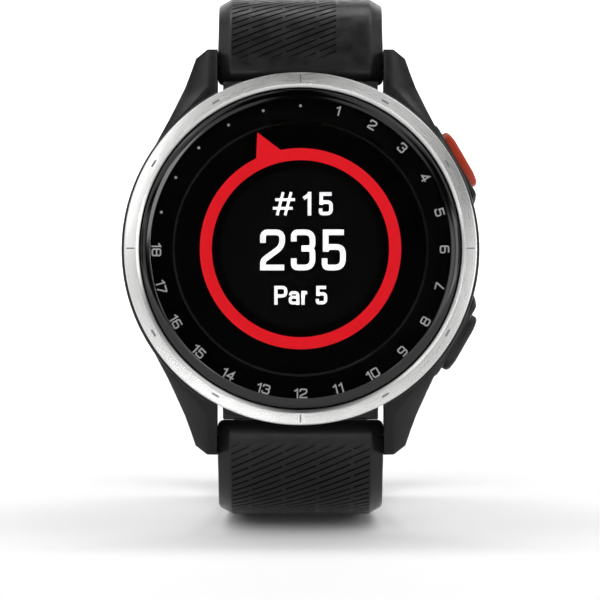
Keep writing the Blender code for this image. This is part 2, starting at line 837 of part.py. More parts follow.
def make_upper_band(axis, route):
    length = route[-1][0]
    rings = nose_rings(route, 1)
    for place in stations(length):
        rings.append(band_section(route, place, band_half_width(place), band_half_thickness(place), 1))
    tail = BAND_TAIL_HALF_WIDTH - 0.05
    rings.append(band_section(route, length - 2.4, tail, 1.45, 1))
    rings.append(band_section(route, length, tail, 1.6, 1))
    rings += nose_rings(route, 1, length, 1.6, 1, tail)
    band = link("upper_band", lofted("upper_band", rings), silicone(), axis)
    cut_bar_bore(band, "upper")
    cut_release_notch(band, "upper", route, 1)
    y, z, _ = band_point(route, length)
    cut_bar_bore(band, "buckle", (0, y, z), BUCKLE_BAR_R + SLIDING_GAP)
    outline = []
    for along, lift in ((-3.4, -3.0), (3.0, -3.0), (3.0, 3.0), (-3.4, 3.0)):
        slot_y, slot_z, _ = band_offset(route, length + along, lift)
        outline.append((slot_y, slot_z))
    slot = prism("tongue_slot", outline, -1.6, 1.6, along="X")
    boolean(band, link("tongue_slot", slot, None, axis), "DIFFERENCE")


def hole_cutter(name, route, length, side):
    """All the sizing holes as one cutter of separate plugs, each square to the band."""
    bm = bmesh.new()
    for number in range(HOLE_COUNT):
        y, z, heading = band_point(route, length - HOLE_FROM_TIP - number * HOLE_PITCH)
        outward = Vector((0, -math.cos(heading), side * math.sin(heading)))
        turn = AXES["Z"].rotation_difference(outward).to_matrix().to_4x4()
        place = Matrix.Translation(Vector((0, y, side * z)))
        bmesh.ops.create_cone(
            bm,
            cap_ends=True,
            segments=12,
            radius1=HOLE_R,
            radius2=HOLE_R,
            depth=6.0,
            matrix=place @ turn,
        )
    return finished(bm, name)


def make_lower_band(axis, route):
    length = route[-1][0]
    rings = nose_rings(route, -1)
    for place in stations(length - 8.0):
        rings.append(band_section(route, place, band_half_width(place), band_half_thickness(place), -1))
    tip_length = 9.0
    tip_half_width = 1.5
    for share in (0.0, 0.35, 0.62, 0.82, 0.95, 1.0):
        place = length - tip_length * (1.0 - share)
        rounding = math.sqrt(1.0 - share * share)
        half_width = tip_half_width + (BAND_TAIL_HALF_WIDTH - tip_half_width) * rounding
        rings.append(band_section(route, place, half_width, BAND_TAIL_HALF_THICKNESS - 0.1 * share, -1))
    band = link("lower_band", lofted("lower_band", rings), silicone(), axis)
    cut_bar_bore(band, "lower")
    cut_release_notch(band, "lower", route, -1)
    cutter = hole_cutter("sizing_holes", route, length, -1)
    boolean(band, link("sizing_holes", cutter, None, axis), "DIFFERENCE")


def make_spring_bar(label, side, axis):
    """A tube with a fixed tip, a sliding tip and the lever that draws the tip in."""
    inner = BAR_TIP_R + SLIDING_GAP
    profile = (
        (0, 5.0),
        (inner, 5.0),
        (inner, BAR_HALF_LENGTH),
        (BAR_R, BAR_HALF_LENGTH),
        (BAR_R, -BAR_HALF_LENGTH),
        (BAR_TIP_R, -BAR_HALF_LENGTH),
        (BAR_TIP_R, -11.3),
        (0, -11.3),
    )
    tube = turned(f"{label}_spring_bar", profile, "X", 16)
    bar = link(f"{label}_spring_bar", tube, bright_steel(), axis)
    lean = math.radians(BAND_START_HEADING)
    inward = Vector((0, math.cos(lean), -side * math.sin(lean)))
    along = Vector((0, math.sin(lean), side * math.cos(lean)))

    def outline(half, near, far):
        corners = ((-half, near), (half, near), (half, far), (-half, far))
        points = [along * a + inward * b for a, b in corners]
        return [(p.y, p.z) for p in points]

    slot = prism(f"lever_slot_{label}", outline(0.5, 0.0, 2.0), 5.05, 7.9, along="X")
    boolean(bar, link(f"lever_slot_{label}", slot, None, axis), "DIFFERENCE")
    tip = ((0, 11.3), (BAR_TIP_R * 0.7, 11.3), (BAR_TIP_R, 11.1), (BAR_TIP_R, 6.3), (0, 6.3))
    link(f"{label}_bar_tip", turned(f"{label}_bar_tip", tip, "X", 12), bright_steel(), axis)
    lever = prism(f"{label}_release_lever", outline(0.4, BAR_TIP_R + 0.05, 2.7), 6.5, 7.7, along="X")
    link(f"{label}_release_lever", lever, bright_steel(), axis)


# ----------------------------------------------------------- buckle and keepers


def frame_at(route, distance):
    """Place, along-the-band and outward directions at one point of the upper half."""
    y, z, heading = band_point(route, distance)
    along = Vector((0, math.sin(heading), math.cos(heading)))
    outward = Vector((0, -math.cos(heading), math.sin(heading)))
    return Vector((0, y, z)), along, outward


def local_axes(name, parent, place, along):
    """An empty whose +Y runs along the band, +X across it and +Z outwards or inwards."""
    empty = axis_empty(name, place)
    empty.rotation_euler = (math.atan2(along.z, along.y), 0, 0)
    empty.parent = parent
    return empty


def make_buckle(seat, outer):
    """Outlines are (across X, along Y); outer is +1 where +Z of the seat is outwards."""
    outside = [(BUCKLE_OUTER_HALF, -1.7)]
    outside += arc_points((BUCKLE_OUTER_HALF - 3.0, BUCKLE_REACH - 2.0), 3.0, 0, 90, 6)
    outside += [(-x, y) for x, y in outside[::-1]]
    ring = prism("buckle_frame", outside, -1.1, 1.1, along="Z")
    frame = link("buckle_frame", ring, dark_steel(), seat)
    window = prism("buckle_window", rectangle(BUCKLE_INNER_HALF, 5.2, (0, 3.2)), -3.0, 3.0, along="Z")
    boolean(frame, link("buckle_window", window, None, seat), "DIFFERENCE")
    back = prism("buckle_back", rectangle(BUCKLE_INNER_HALF, 2.0, (0, -2.5)), -3.0, 3.0, along="Z")
    boolean(frame, link("buckle_back", back, None, seat), "DIFFERENCE")
    bore = cylinder("buckle_bore", BUCKLE_BAR_R + SLIDING_GAP, -12.0, 12.0, "X", 16)
    boolean(frame, link("buckle_bore", bore, None, seat), "DIFFERENCE")

    bar = cylinder("buckle_bar", BUCKLE_BAR_R, -BUCKLE_OUTER_HALF + 0.1, BUCKLE_OUTER_HALF - 0.1, "X", 16)
    link("buckle_bar", bar, bright_steel(), seat)

    eye = arc_points((0, 0), BUCKLE_EYE_R - 0.05, 30, 300, 12)
    finger = ((2.2, 0.2), (4.0, 1.35), (10.3, 1.35), (10.6, 1.7), (9.8, 2.2), (3.4, 2.2))
    outline = [(a, outer * b) for a, b in (*finger, *eye)]
    pin = prism("buckle_tongue", outline, -1.2, 1.2, along="X")
    tongue = link("buckle_tongue", pin, dark_steel(), seat)
    hole = cylinder("tongue_bore", BUCKLE_BAR_R + SLIDING_GAP, -3.0, 3.0, "X", 16)
    boolean(tongue, link("tongue_bore", hole, None, seat), "DIFFERENCE")


def make_keeper(name, seat, outer):
    """A flat loop that goes round the band with room above it for the other half."""
    inner = rounded_rectangle(BAND_TAIL_HALF_WIDTH + 0.3, 2.95, 0.8, 3)
    outside = rounded_rectangle(BAND_TAIL_HALF_WIDTH + 1.5, 4.1, 1.4, 4)
    middle = outer * 1.4
    half = KEEPER_LENGTH / 2
    loop = prism(name, [(a, b + middle) for a, b in outside], -half, half)
    keeper = link(name, loop, silicone(), seat)
    hollow = prism(f"{name}_hollow", [(a, b + middle) for a, b in inner], -half - 2, half + 2)
    boolean(keeper, link(f"{name}_hollow", hollow, None, seat), "DIFFERENCE")


def make_buckle_end(axis, route):
    length = route[-1][0]
    seats = (
        ("buckle_axis", length),
        ("fixed_keeper_seat", length - FIXED_KEEPER_FROM_END),
        ("sliding_keeper_seat", length - SLIDING_KEEPER_FROM_END),
    )
    made = {}
    for name, distance in seats:
        place, along, outward = frame_at(route, distance)
        made[name] = local_axes(name, axis, place, along)
        across = AXES["X"].cross(along)
        outer = 1 if across.dot(outward) > 0 else -1
    make_buckle(made["buckle_axis"], outer)
    make_keeper("fixed_keeper", made["fixed_keeper_seat"], outer)
    make_keeper("sliding_keeper", made["sliding_keeper_seat"], outer)


# ------------------------------------------------------------------------- build


def main():
    clear_scene()
    button_axes = {
        label: axis_empty(f"{label}_button_axis", rotation=(0, -math.radians(angle), 0))
        for label, angle in BUTTON_ANGLES.items()
    }
    make_mid_case(button_axes)
    make_bezel()
    make_glass()
    make_glass_gasket()
    make_number_ring()
    make_display()
    make_display_flex()
    make_inner_frame(button_axes)
    make_antenna()
    make_board()
    make_shield_can()
    make_battery()
    make_vibration_motor()
    make_rear_cover()
    make_rear_gasket()
    make_charge_port()
    for label, axis in button_axes.items():
        make_button(label, axis)

    upper_axis = axis_empty("upper_band_axis", (0, BAR_Y, BAR_Z))
    lower_axis = axis_empty("lower_band_axis", (0, BAR_Y, -BAR_Z))
    upper_route = band_route(UPPER_RUNS)
    make_upper_band(upper_axis, upper_route)
    make_lower_band(lower_axis, band_route(LOWER_RUNS))
    make_spring_bar("upper", 1, upper_axis)
    make_spring_bar("lower", -1, lower_axis)
    make_buckle_end(upper_axis, upper_route)


main()
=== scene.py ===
"""Looks of the golf GPS watch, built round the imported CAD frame.

Axes as in the frame: +X to 3 o'clock, +Y from the dial to the wrist, +Z to 12 o'clock.
Sizes below are in millimetres and degrees; the mesh builders turn them into metres.
"""

from math import ceil, cos, pi, radians, sin, sqrt, tan, tau

import bmesh
import bpy
from mathutils import Matrix, Vector


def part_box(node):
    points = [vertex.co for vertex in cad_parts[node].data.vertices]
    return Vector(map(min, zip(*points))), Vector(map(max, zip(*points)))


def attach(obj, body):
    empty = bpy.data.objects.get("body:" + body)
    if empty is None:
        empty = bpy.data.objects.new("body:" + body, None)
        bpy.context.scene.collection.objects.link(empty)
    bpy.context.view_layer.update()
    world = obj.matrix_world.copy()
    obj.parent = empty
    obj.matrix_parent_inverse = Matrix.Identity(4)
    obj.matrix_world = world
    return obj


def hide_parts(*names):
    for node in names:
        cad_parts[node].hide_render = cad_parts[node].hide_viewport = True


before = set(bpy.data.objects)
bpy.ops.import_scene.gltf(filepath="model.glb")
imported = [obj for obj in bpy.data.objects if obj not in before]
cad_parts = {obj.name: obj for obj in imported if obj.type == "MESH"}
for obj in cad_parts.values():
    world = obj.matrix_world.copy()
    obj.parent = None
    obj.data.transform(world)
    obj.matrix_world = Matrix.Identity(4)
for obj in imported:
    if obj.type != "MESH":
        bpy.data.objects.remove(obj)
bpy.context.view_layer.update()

MM = 0.001
AXIS_X = Vector((1, 0, 0))
AXIS_Y = Vector((0, 1, 0))
AXIS_Z = Vector((0, 0, 1))


def box_mm(node):
    """The (lowest, highest) places of a CAD node along X, Y and Z, in millimetres."""
    return [(round(low / MM, 3), round(high / MM, 3)) for low, high in zip(*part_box(node))]


def middle_mm(node):
    """The centre of a CAD node's box, in millimetres."""
    return [round((low + high) / 2, 3) for low, high in box_mm(node)]


# Sizes and places read from the CAD frame
(_, CASE_R), (CASE_FRONT_Y, _), (_, LUG_TIP_Z) = box_mm("mid_case")
(_, BEZEL_OUTER_R), (BEZEL_TOP_Y, BEZEL_BOTTOM_Y), _ = box_mm("bezel_ring")
(_, GLASS_R), (GLASS_TOP_Y, GLASS_BACK_Y), _ = box_mm("cover_glass")
_, (RING_FACE_Y, _), _ = box_mm("number_ring")
(_, BAND_HALF_WIDTH), _, _ = box_mm("upper_band")
(_, BUCKLE_OUTER_HALF), _, _ = box_mm("buckle_frame")
(_, TONGUE_HALF_WIDTH), _, _ = box_mm("buckle_tongue")
_, BUTTON_Y, _ = middle_mm("upper_button")
_, BAR_Y, BAR_Z = middle_mm("upper_spring_bar")
_, _, PORT_Z = middle_mm("charge_port")

# Case and bezel
CASE_BACK_Y = -2.3
CASE_BACK_R = 20.9
CAVITY_R = 17.0
LUG_INNER_X = 10.2
LUG_TIP_DROP = 4.5
BOSS_HALF_WIDTH = 9.45
BOSS_END_Z = 20.56
BEZEL_INNER_R = 19.62
GLASS_RIM_WIDTH = 1.55
GLASS_RIM_DEPTH = 0.62
GLASS_SEAM_ANGLE = 13.89

# Dial
RING_INNER_R = 15.55
RING_OUTER_R = 18.2
PRINT_DEPTH = 0.05
NUMBER_R = 17.5
NUMBER_HEIGHT = 1.16
NUMBER_WIDTH = 0.95
NUMBER_ONE_WIDTH = 0.55
NUMBER_GAP = 0.17
NUMBER_HALF_STROKE = 0.085
NUMBER_FILLET = 0.22
FIRST_DOT_ANGLE = 285.0
FIRST_TURNED_NUMBER = 7
RING_SHIFT_Z = -0.1
DOT_R = 0.17
RED_INNER_R = 10.77
RED_OUTER_R = 12.24
POINTER_TIP_R = 15.1
POINTER_ANGLE = -20.3
POINTER_SPREAD = 8.1
DISC_R = 9.7

# Buttons
BUTTON_ANGLES = {"upper": 30.0, "lower": -30.0}
BUTTON_LENGTH = 7.5
BUTTON_HEIGHT = 3.2
BUTTON_TOP_R = 23.3
BUTTON_BASE_R = 21.0
BUTTON_POCKET_R = 20.3
BUTTON_BOW_R = 45.0
BUTTON_EDGE = 0.5
BUTTON_PLAY = 0.4

# Band
BAND_NOSE_R = 1.8
BAND_TAIL_HALF_THICKNESS = 1.3
BAND_LUG_HALF_WIDTH = 10.19
BAND_TAIL_HALF_WIDTH = 9.0
BAND_FACE_HALF = 8.5
BAND_SLICE = 1.5
BAR_BORE_R = 0.98
TIP_LENGTH = 9.0
TIP_HALF_WIDTH = 1.5
CHAMFER_WIDTH = 1.65
CHAMFER_DEPTH = 1.0
START_HEADING = 15.0
# Runs of each half's centre line: (bend radius, heading at its end) or (0, length).
UPPER_RUNS = ((0, 1.5), (8.5, 85.0), (60.0, 104.0), (20.0, 170.0), (0, 20.0))
LOWER_RUNS = ((0, 1.5), (8.5, 85.0), (110.0, 102.0), (38.0, 165.0), (0, 14.0))
HOLE_COUNT = 12
HOLE_PITCH = 5.0
HOLE_FROM_TIP = 13.0
HOLE_R = 1.15
GROOVES_START = 0.3
GROOVE_PITCH = 0.9
GROOVE_HALF_WIDTH = 0.13
GROOVE_DEPTH = 0.28
GROOVE_SLOPE = tan(radians(25.0))
OUTER_LIFT = 1.65
GROOVE_BREAKS = (-6.2, -2.05, 2.1, 6.35)
GROOVE_BREAK_HALF = 0.2

# Buckle
BUCKLE_BORE_R = 0.83
BUCKLE_HALF_HEIGHT = 1.1
TONGUE_EYE_R = 1.45
BUCKLE_INNER_HALF = 9.35
BUCKLE_REACH = 10.6
KEEPER_LENGTH = 5.0
KEEPER_LIFT = 1.4
FIXED_KEEPER_FROM_END = 6.2
SLIDING_KEEPER_FROM_END = 12.6

# Back
SCREW_CIRCLE_R = 18.2


# ---- mesh builders


def linked(name, data):
    obj = bpy.data.objects.new(name, data)
    bpy.context.scene.collection.objects.link(obj)
    return obj


def shaded(mesh, smooth_angle):
    mesh.shade_smooth()
    mesh.set_sharp_from_angle(angle=radians(smooth_angle))


def finished(bm, name, smooth_angle=30.0, weld=1e-4):
    bmesh.ops.remove_doubles(bm, verts=bm.verts, dist=weld)
    bmesh.ops.scale(bm, vec=(MM, MM, MM), verts=bm.verts)
    bmesh.ops.recalc_face_normals(bm, faces=bm.faces)
    mesh = bpy.data.meshes.new(name)
    bm.to_mesh(mesh)
    bm.free()
    shaded(mesh, smooth_angle)
    return linked(name, mesh)


def turned(name, profile, axis="Y", steps=192, closed=False, smooth_angle=30.0):
    """Spins a profile of (radius, place along the axis) about that axis."""
    bm = bmesh.new()
    along, radial = (AXIS_X, AXIS_Z) if axis == "X" else (AXIS_Y, AXIS_X)
    verts = [bm.verts.new(radial * r + along * place) for r, place in profile]
    ends = verts[1:] + verts[:1] if closed else verts[1:]
    edges = [bm.edges.new(pair) for pair in zip(verts, ends)]
    line = verts + edges
    bmesh.ops.spin(bm, geom=line, cent=(0, 0, 0), axis=along, angle=tau, steps=steps, use_merge=True)
    return finished(bm, name, smooth_angle)


def rod(name, radius, low, high, steps=32):
    """A plain cylinder about X."""
    return turned(name, ((0, high), (radius, high), (radius, low), (0, low)), "X", steps)


def add_loft(bm, rings):
    """Joins rings of points, all of one length, and caps the two ends."""
    rows = [[bm.verts.new(point) for point in ring] for ring in rings]
    for row, following in zip(rows, rows[1:]):
        for i in range(len(row)):
            j = (i + 1) % len(row)
            bm.faces.new((row[i], row[j], following[j], following[i]))
    bm.faces.new(rows[0])
    bm.faces.new(rows[-1])


def lofted(name, rings, smooth_angle=30.0, weld=1e-4):
    bm = bmesh.new()
    add_loft(bm, rings)
    return finished(bm, name, smooth_angle, weld)


def prism(name, outline, low, high, along="Y", smooth_angle=30.0):
    """Extrudes an outline. Its points are (X, Z) for Y, (Y, Z) for X, (X, Y) for Z."""
    place = {
        "Y": lambda a, b, h: (a, h, b),
        "X": lambda a, b, h: (h, a, b),
        "Z": lambda a, b, h: (a, b, h),
    }[along]
    rings = [[place(a, b, level) for a, b in outline] for level in (low, high)]
    return lofted(name, rings, smooth_angle)


def arc_points(centre, radius, start, end, count):
    points = []
    for i in range(count):
        turn = radians(start + (end - start) * i / (count - 1))
        points.append((centre[0] + radius * cos(turn), centre[1] + radius * sin(turn)))
    return points


def stadium(length, height, per_end=15):
    """A slot outline that lies along its second axis."""
    reach = (length - height) / 2
    upper = arc_points((0, reach), height / 2, 0, 180, per_end)
    return upper + arc_points((0, -reach), height / 2, 180, 360, per_end)


def rounded_rectangle(half_a, half_b, radius, per_corner=8):
    points = []
    for side_a, side_b, start in ((1, 1, 0), (-1, 1, 90), (-1, -1, 180), (1, -1, 270)):
        centre = (side_a * (half_a - radius), side_b * (half_b - radius))
        points += arc_points(centre, radius, start, start + 90, per_corner)
    return points


def placed(obj, matrix):
    """Moves the mesh itself, in metres, and leaves the object at the origin."""
    obj.data.transform(matrix)
    return obj


def moved(obj, x=0.0, y=0.0, z=0.0):
    return placed(obj, Matrix.Translation(Vector((x, y, z)) * MM))


def on_button_axis(obj, label):
    """From a frame whose +X is the button's way out to the watch's own frame."""
    turn = Matrix.Rotation(-radians(BUTTON_ANGLES[label]), 4, "Y")
    return placed(obj, turn)


def applied(obj):
    """Replaces the mesh by its modified one, and drops the modifiers and cutters."""
    graph = bpy.context.evaluated_depsgraph_get()
    graph.update()
    mesh = bpy.data.meshes.new_from_object(obj.evaluated_get(graph))
    others = [m.object for m in obj.modifiers if m.type == "BOOLEAN"]
    obj.modifiers.clear()
    old = obj.data
    obj.data = mesh
    bpy.data.meshes.remove(old)
    for other in others:
        bpy.data.objects.remove(other, do_unlink=True)


def combine(obj, cutters=(), joins=(), smooth_angle=30.0):
    """Joins pieces to an object and then cuts others out of it."""
    for operation, others in (("UNION", joins), ("DIFFERENCE", cutters)):
        for other in others:
            modifier = obj.modifiers.new(other.name, "BOOLEAN")
            modifier.operation = operation
            modifier.solver = "EXACT"
            modifier.object = other
    applied(obj)
    shaded(obj.data, smooth_angle)


def rounded(obj, width):
    """Softens the hard edges with a bevel of real geometry."""
    edge_angle = 40.0
    bevel = obj.modifiers.new("soft_edges", "BEVEL")
    bevel.width = width * MM
    bevel.segments = 3
    bevel.limit_method = "ANGLE"
    bevel.angle_limit = radians(edge_angle)
    applied(obj)
    shaded(obj.data, edge_angle)


# ---- materials


class Look:
    """A Principled material whose detail comes from a few small node groups."""

    def __init__(self, name, colour, roughness, metallic=0.0, specular=0.5):
        self.material = bpy.data.materials.new(name)
        self.material.use_nodes = True
        self.tree = self.material.node_tree
        self.shader = self.tree.nodes["Principled BSDF"]
        self.put("Base Color", (*colour, 1.0))
        self.put("Roughness", roughness)
        self.put("Metallic", metallic)
        self.put("Specular IOR Level", specular)
        self.colour = colour
        self.roughness = roughness
        self.place = self.node("ShaderNodeTexCoord").outputs["Object"]
        self.relief = None

    def put(self, socket, value):
        self.shader.inputs[socket].default_value = value

    def node(self, kind, *sources, **settings):
        """A new node, with the sources joined to its first inputs."""
        made = self.tree.nodes.new(kind)
        for key, value in settings.items():
            setattr(made, key, value)
        for source, socket in zip(sources, made.inputs):
            self.join(source, socket)
        return made

    def join(self, source, target):
        self.tree.links.new(source, target)

    def noise(self, scale, detail=3.0, stretch=(1, 1, 1), place=None):
        mapping = self.node("ShaderNodeMapping", place or self.place)
        mapping.inputs["Scale"].default_value = stretch
        noise = self.node("ShaderNodeTexNoise", mapping.outputs["Vector"])
        noise.inputs["Scale"].default_value = scale
        noise.inputs["Detail"].default_value = detail
        return noise.outputs["Fac"]

    def ramp(self, source, low, high, start=0.35, end=0.65):
        """Maps a 0 to 1 pattern onto two numbers."""
        made = self.node("ShaderNodeMapRange", source)
        for key, value in (("From Min", start), ("From Max", end), ("To Min", low), ("To Max", high)):
            made.inputs[key].default_value = value
        return made.outputs["Result"]

    def vary_roughness(self, source, spread):
        value = self.ramp(source, self.roughness - spread, self.roughness + spread)
        self.join(value, self.shader.inputs["Roughness"])

    def vary_colour(self, source, light):
        mix = self.node("ShaderNodeMix", data_type="RGBA")
        mix.inputs["A"].default_value = (*self.colour, 1.0)
        mix.inputs["B"].default_value = (*light, 1.0)
        self.join(self.ramp(source, 0.0, 1.0), mix.inputs["Factor"])
        self.join(mix.outputs["Result"], self.shader.inputs["Base Color"])

    def bump(self, source, strength, distance):
        """Adds a fine relief; a second one lies on top of the first."""
        bump = self.node("ShaderNodeBump")
        bump.inputs["Strength"].default_value = strength
        bump.inputs["Distance"].default_value = distance
        self.join(source, bump.inputs["Height"])
        if self.relief:
            self.join(self.relief, bump.inputs["Normal"])
        self.relief = bump.outputs["Normal"]
        self.join(self.relief, self.shader.inputs["Normal"])

    def polar(self):
        """(angle, radius, depth) about the case's axis, for circular brushing."""
        x, y, z = self.node("ShaderNodeSeparateXYZ", self.place).outputs
        angle = self.node("ShaderNodeMath", z, x, operation="ARCTAN2").outputs["Value"]
        flat = self.node("ShaderNodeCombineXYZ", x, z).outputs["Vector"]
        radius = self.node("ShaderNodeVectorMath", flat, operation="LENGTH").outputs["Value"]
        return self.node("ShaderNodeCombineXYZ", angle, radius, y).outputs["Vector"]


def case_look():
    look = Look("case_polymer_look", (0.0048, 0.0048, 0.0050), 0.36, specular=0.26)
    look.vary_colour(look.noise(90, 4), (0.0072, 0.0072, 0.0074))
    look.vary_roughness(look.noise(1500, 2), 0.07)
    look.bump(look.noise(9000, 2), 0.22, 0.00002)
    return look.material


def silicone_look():
    look = Look("band_silicone_look", (0.0055, 0.0055, 0.0057), 0.36, specular=0.28)
    look.put("Sheen Weight", 0.06)
    look.put("Sheen Roughness", 0.45)
    look.vary_colour(look.noise(140, 5), (0.0085, 0.0085, 0.0087))
    look.vary_roughness(look.noise(700, 3), 0.08)
    look.bump(look.noise(5200, 3), 0.30, 0.00003)
    look.bump(look.noise(260, 2), 0.10, 0.0001)
    return look.material


def bezel_look():
    look = Look("bezel_steel_look", (0.66, 0.66, 0.65), 0.30, 1.0)
    look.put("Anisotropic", 0.8)
    look.put("Anisotropic Rotation", 0.25)
    polar = look.polar()
    brushed = look.noise(1.0, 4, (9.0, 52000.0, 9000.0), polar)
    look.vary_roughness(brushed, 0.05)
    look.vary_colour(look.noise(60, 3), (0.63, 0.63, 0.625))
    look.bump(brushed, 0.04, 0.000006)
    tangent = look.node("ShaderNodeTangent", direction_type="RADIAL", axis="Y")
    look.join(tangent.outputs["Tangent"], look.shader.inputs["Tangent"])
    return look.material


def steel_look(name, colour, roughness):
    look = Look(name, colour, roughness, 1.0)
    grain = look.noise(1.0, 3, (120.0, 9000.0, 9000.0))
    look.vary_roughness(grain, 0.07)
    look.vary_colour(look.noise(300, 3), tuple(0.8 * part for part in colour))
    look.bump(grain, 0.10, 0.00001)
    return look.material


def glass_look():
    look = Look("cover_glass_look", (1.0, 1.0, 1.0), 0.0)
    look.put("Transmission Weight", 1.0)
    look.put("IOR", 1.5)
    smudge = look.ramp(look.noise(45, 4), 0.0, 0.004, 0.45, 0.75)
    look.join(smudge, look.shader.inputs["Roughness"])
    return look.material


def plain_look(name, colour, roughness, metallic=0.0, grain=3000.0, spread=0.06, lift=1.25, specular=0.5):
    """A finish with a fine grain in its colour, gloss and surface."""
    look = Look(name, colour, roughness, metallic, specular)
    lighter = tuple(min(1.0, part * lift) for part in colour)
    look.vary_colour(look.noise(grain / 20, 4), lighter)
    look.vary_roughness(look.noise(grain / 4, 2), spread)
    look.bump(look.noise(grain, 2), 0.15, 0.00002)
    return look.material


def black_look(name, level, roughness, **detail):
    """A black print that mirrors next to nothing."""
    return plain_look(name, (level, level, level), roughness, specular=0.02, **detail)


def display_black_look(name, level, roughness):
    return black_look(name, level, roughness, grain=8000.0, spread=0.03, lift=1.1)


def ink_look(name, colour, glow):
    """Print with a painted glow: its emission stands in for the lamp light that it gets through the glass.
    """
    look = Look(name, colour, 0.45, specular=0.05)
    look.vary_colour(look.noise(900, 3), tuple(0.94 * part for part in colour))
    look.put("Emission Color", (*colour, 1.0))
    look.put("Emission Strength", glow)
    return look.material


def dress(obj, material):
    obj.data.materials.clear()
    obj.data.materials.append(material)


def show(obj, body, slot, material, replaced=()):
    """Finishes a piece: its look, the body it rides on, and the node it stands for."""
    dress(obj, material)
    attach(obj, body)
    if replaced:
        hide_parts(*replaced)


# ---- the case

# Slices of a lug: height, outer edge, crease between its two facets, back.
LUG_SLICES = (
    (10.0, 17.4, 17.2, CASE_BACK_Y - 0.1),
    (12.8, 17.75, 17.2, CASE_BACK_Y - 0.1),
    (15.7, 16.2, 15.3, CASE_BACK_Y - 0.1),
    (17.3, 15.45, 13.75, CASE_BACK_Y - 0.1),
    (20.1, 14.2, 11.4, -1.2),
    (22.0, 13.5, 11.37, -1.2),
    (23.8, 12.9, 11.37, -1.3),
    (LUG_TIP_Z, 11.5, 11.3, -1.8),
)


def lug_slice_at(z):
    for low, high in zip(LUG_SLICES, LUG_SLICES[1:]):
        if z <= high[0]:
            share = (z - low[0]) / (high[0] - low[0])
            return tuple(a + (b - a) * share for a, b in zip(low, high))
    return LUG_SLICES[-1]


def lug_section(z):
    """One slice of a lug, with its inner edge and its crease just broken."""
    _, outer, crease, back = lug_slice_at(z)
    reach = max(0.0, z - 14.0) / (LUG_TIP_Z - 14.0)
    front = CASE_FRONT_Y + 0.3 + LUG_TIP_DROP * reach**1.6
    side = front + 0.8 * (outer - crease)
    soft = min(0.12, 0.4 * (outer - crease))
    inner = LUG_INNER_X
    outline = [(inner, front + 0.14), (inner + 0.05, front + 0.04), (inner + 0.16, front)]
    outline += [(crease - soft, front), (crease + soft, front + 0.8 * soft)]
    outline += [(outer - soft, side - 0.8 * soft), (outer - 0.02, side + 0.06), (outer - 0.03, side + 0.3)]
    outline += [(outer - 0.42, back - 0.35), (outer - 0.6, back - 0.08), (outer - 0.85, back)]
    outline += [(inner + 0.15, back), (inner, back - 0.12)]
    return [(x, y, z) for x, y in outline]


def make_lugs():
    marks = sorted({one[0] for one in LUG_SLICES} | {14.2, 18.7, 21.0, 22.9, 24.4, 24.7})
    for side_x in (-1, 1):
        for side_z in (-1, 1):
            rings = []
            for z in marks:
                rings.append([(side_x * x, y, side_z * zz) for x, y, zz in lug_section(z)])
            yield lofted(f"lug_{side_x}_{side_z}", rings)


def button_pocket(label):
    slot = stadium(BUTTON_LENGTH + BUTTON_PLAY, BUTTON_HEIGHT + BUTTON_PLAY)
    outline = [(a + BUTTON_Y, b) for a, b in slot]
    pocket = prism(f"pocket_{label}", outline, BUTTON_POCKET_R, 25.0, along="X")
    return on_button_axis(pocket, label)


def button_guard(label):
    """The raised frame round a button, with its back and front edges drawn in."""
    outline = ((18.5, -6.2), (20.9, -6.0), (21.6, -5.4), (22.05, -4.8), (22.12, -4.4))
    outline += tuple((r, -t) for r, t in outline[::-1])
    rings = []
    for y, inset in ((-8.9, 0.5), (-8.5, 0.1), (-8.1, 0.0), (-3.9, 0.0), (-3.4, 0.25), (-3.1, 0.6)):
        rings.append([(r - inset * (r > 19), y, t) for r, t in outline])
    return on_button_axis(lofted(f"guard_{label}", rings, 40.0), label)


def end_box(name, side, x_range, near, far, front=-14.0, back=3.0):
    """A box at the 12 (side 1) or 6 o'clock (side -1) end, from near to far."""
    left, right = sorted(x_range)
    low, high = sorted((side * near, side * far))
    outline = ((left, low), (right, low), (right, high), (left, high))
    return prism(name, outline, front, back)


def make_case():
    """The case: a turned body, trimmed between the lugs, with its lugs and guards."""
    profile = [(0, CASE_BACK_Y), (CASE_BACK_R - 0.35, CASE_BACK_Y), (CASE_BACK_R, CASE_BACK_Y - 0.25)]
    profile += [(21.5, -4.6), (CASE_R - 0.08, -6.6), (CASE_R, -7.4), (CASE_R, -9.45)]
    profile += [(CASE_R - 0.08, -9.75), (CASE_R - 0.3, -9.95), (21.2, CASE_FRONT_Y), (0, CASE_FRONT_Y)]
    case = turned("case_body", profile)
    front, back = CASE_FRONT_Y + 0.9, CASE_BACK_Y - 0.1
    wide, narrow = (-LUG_INNER_X, LUG_INNER_X), (-BOSS_HALF_WIDTH, BOSS_HALF_WIDTH)
    trims, ends, slots = [], [], []
    for side in (1, -1):
        trims.append(end_box(f"trim_{side}", side, wide, BOSS_END_Z, 26.0))
        ends.append(end_box(f"end_{side}", side, narrow, 15.0, BOSS_END_Z, front, back))
        for number, x_range in enumerate(zip(wide, narrow)):
            slots.append(end_box(f"slot_{side}_{number}", side, x_range, 18.8, 23.0))
    combine(case, trims)
    combine(case, slots, ends)
    cavity = turned("cavity", ((0, 2), (CAVITY_R, 2), (CAVITY_R, -14), (0, -14)), steps=96)
    cutters = [cavity, *map(button_pocket, BUTTON_ANGLES)]
    combine(case, cutters, [*make_lugs(), *map(button_guard, BUTTON_ANGLES)], 28.0)
    show(case, "case", "case_polymer", case_look(), ["mid_case"])


# ---- bezel and glass


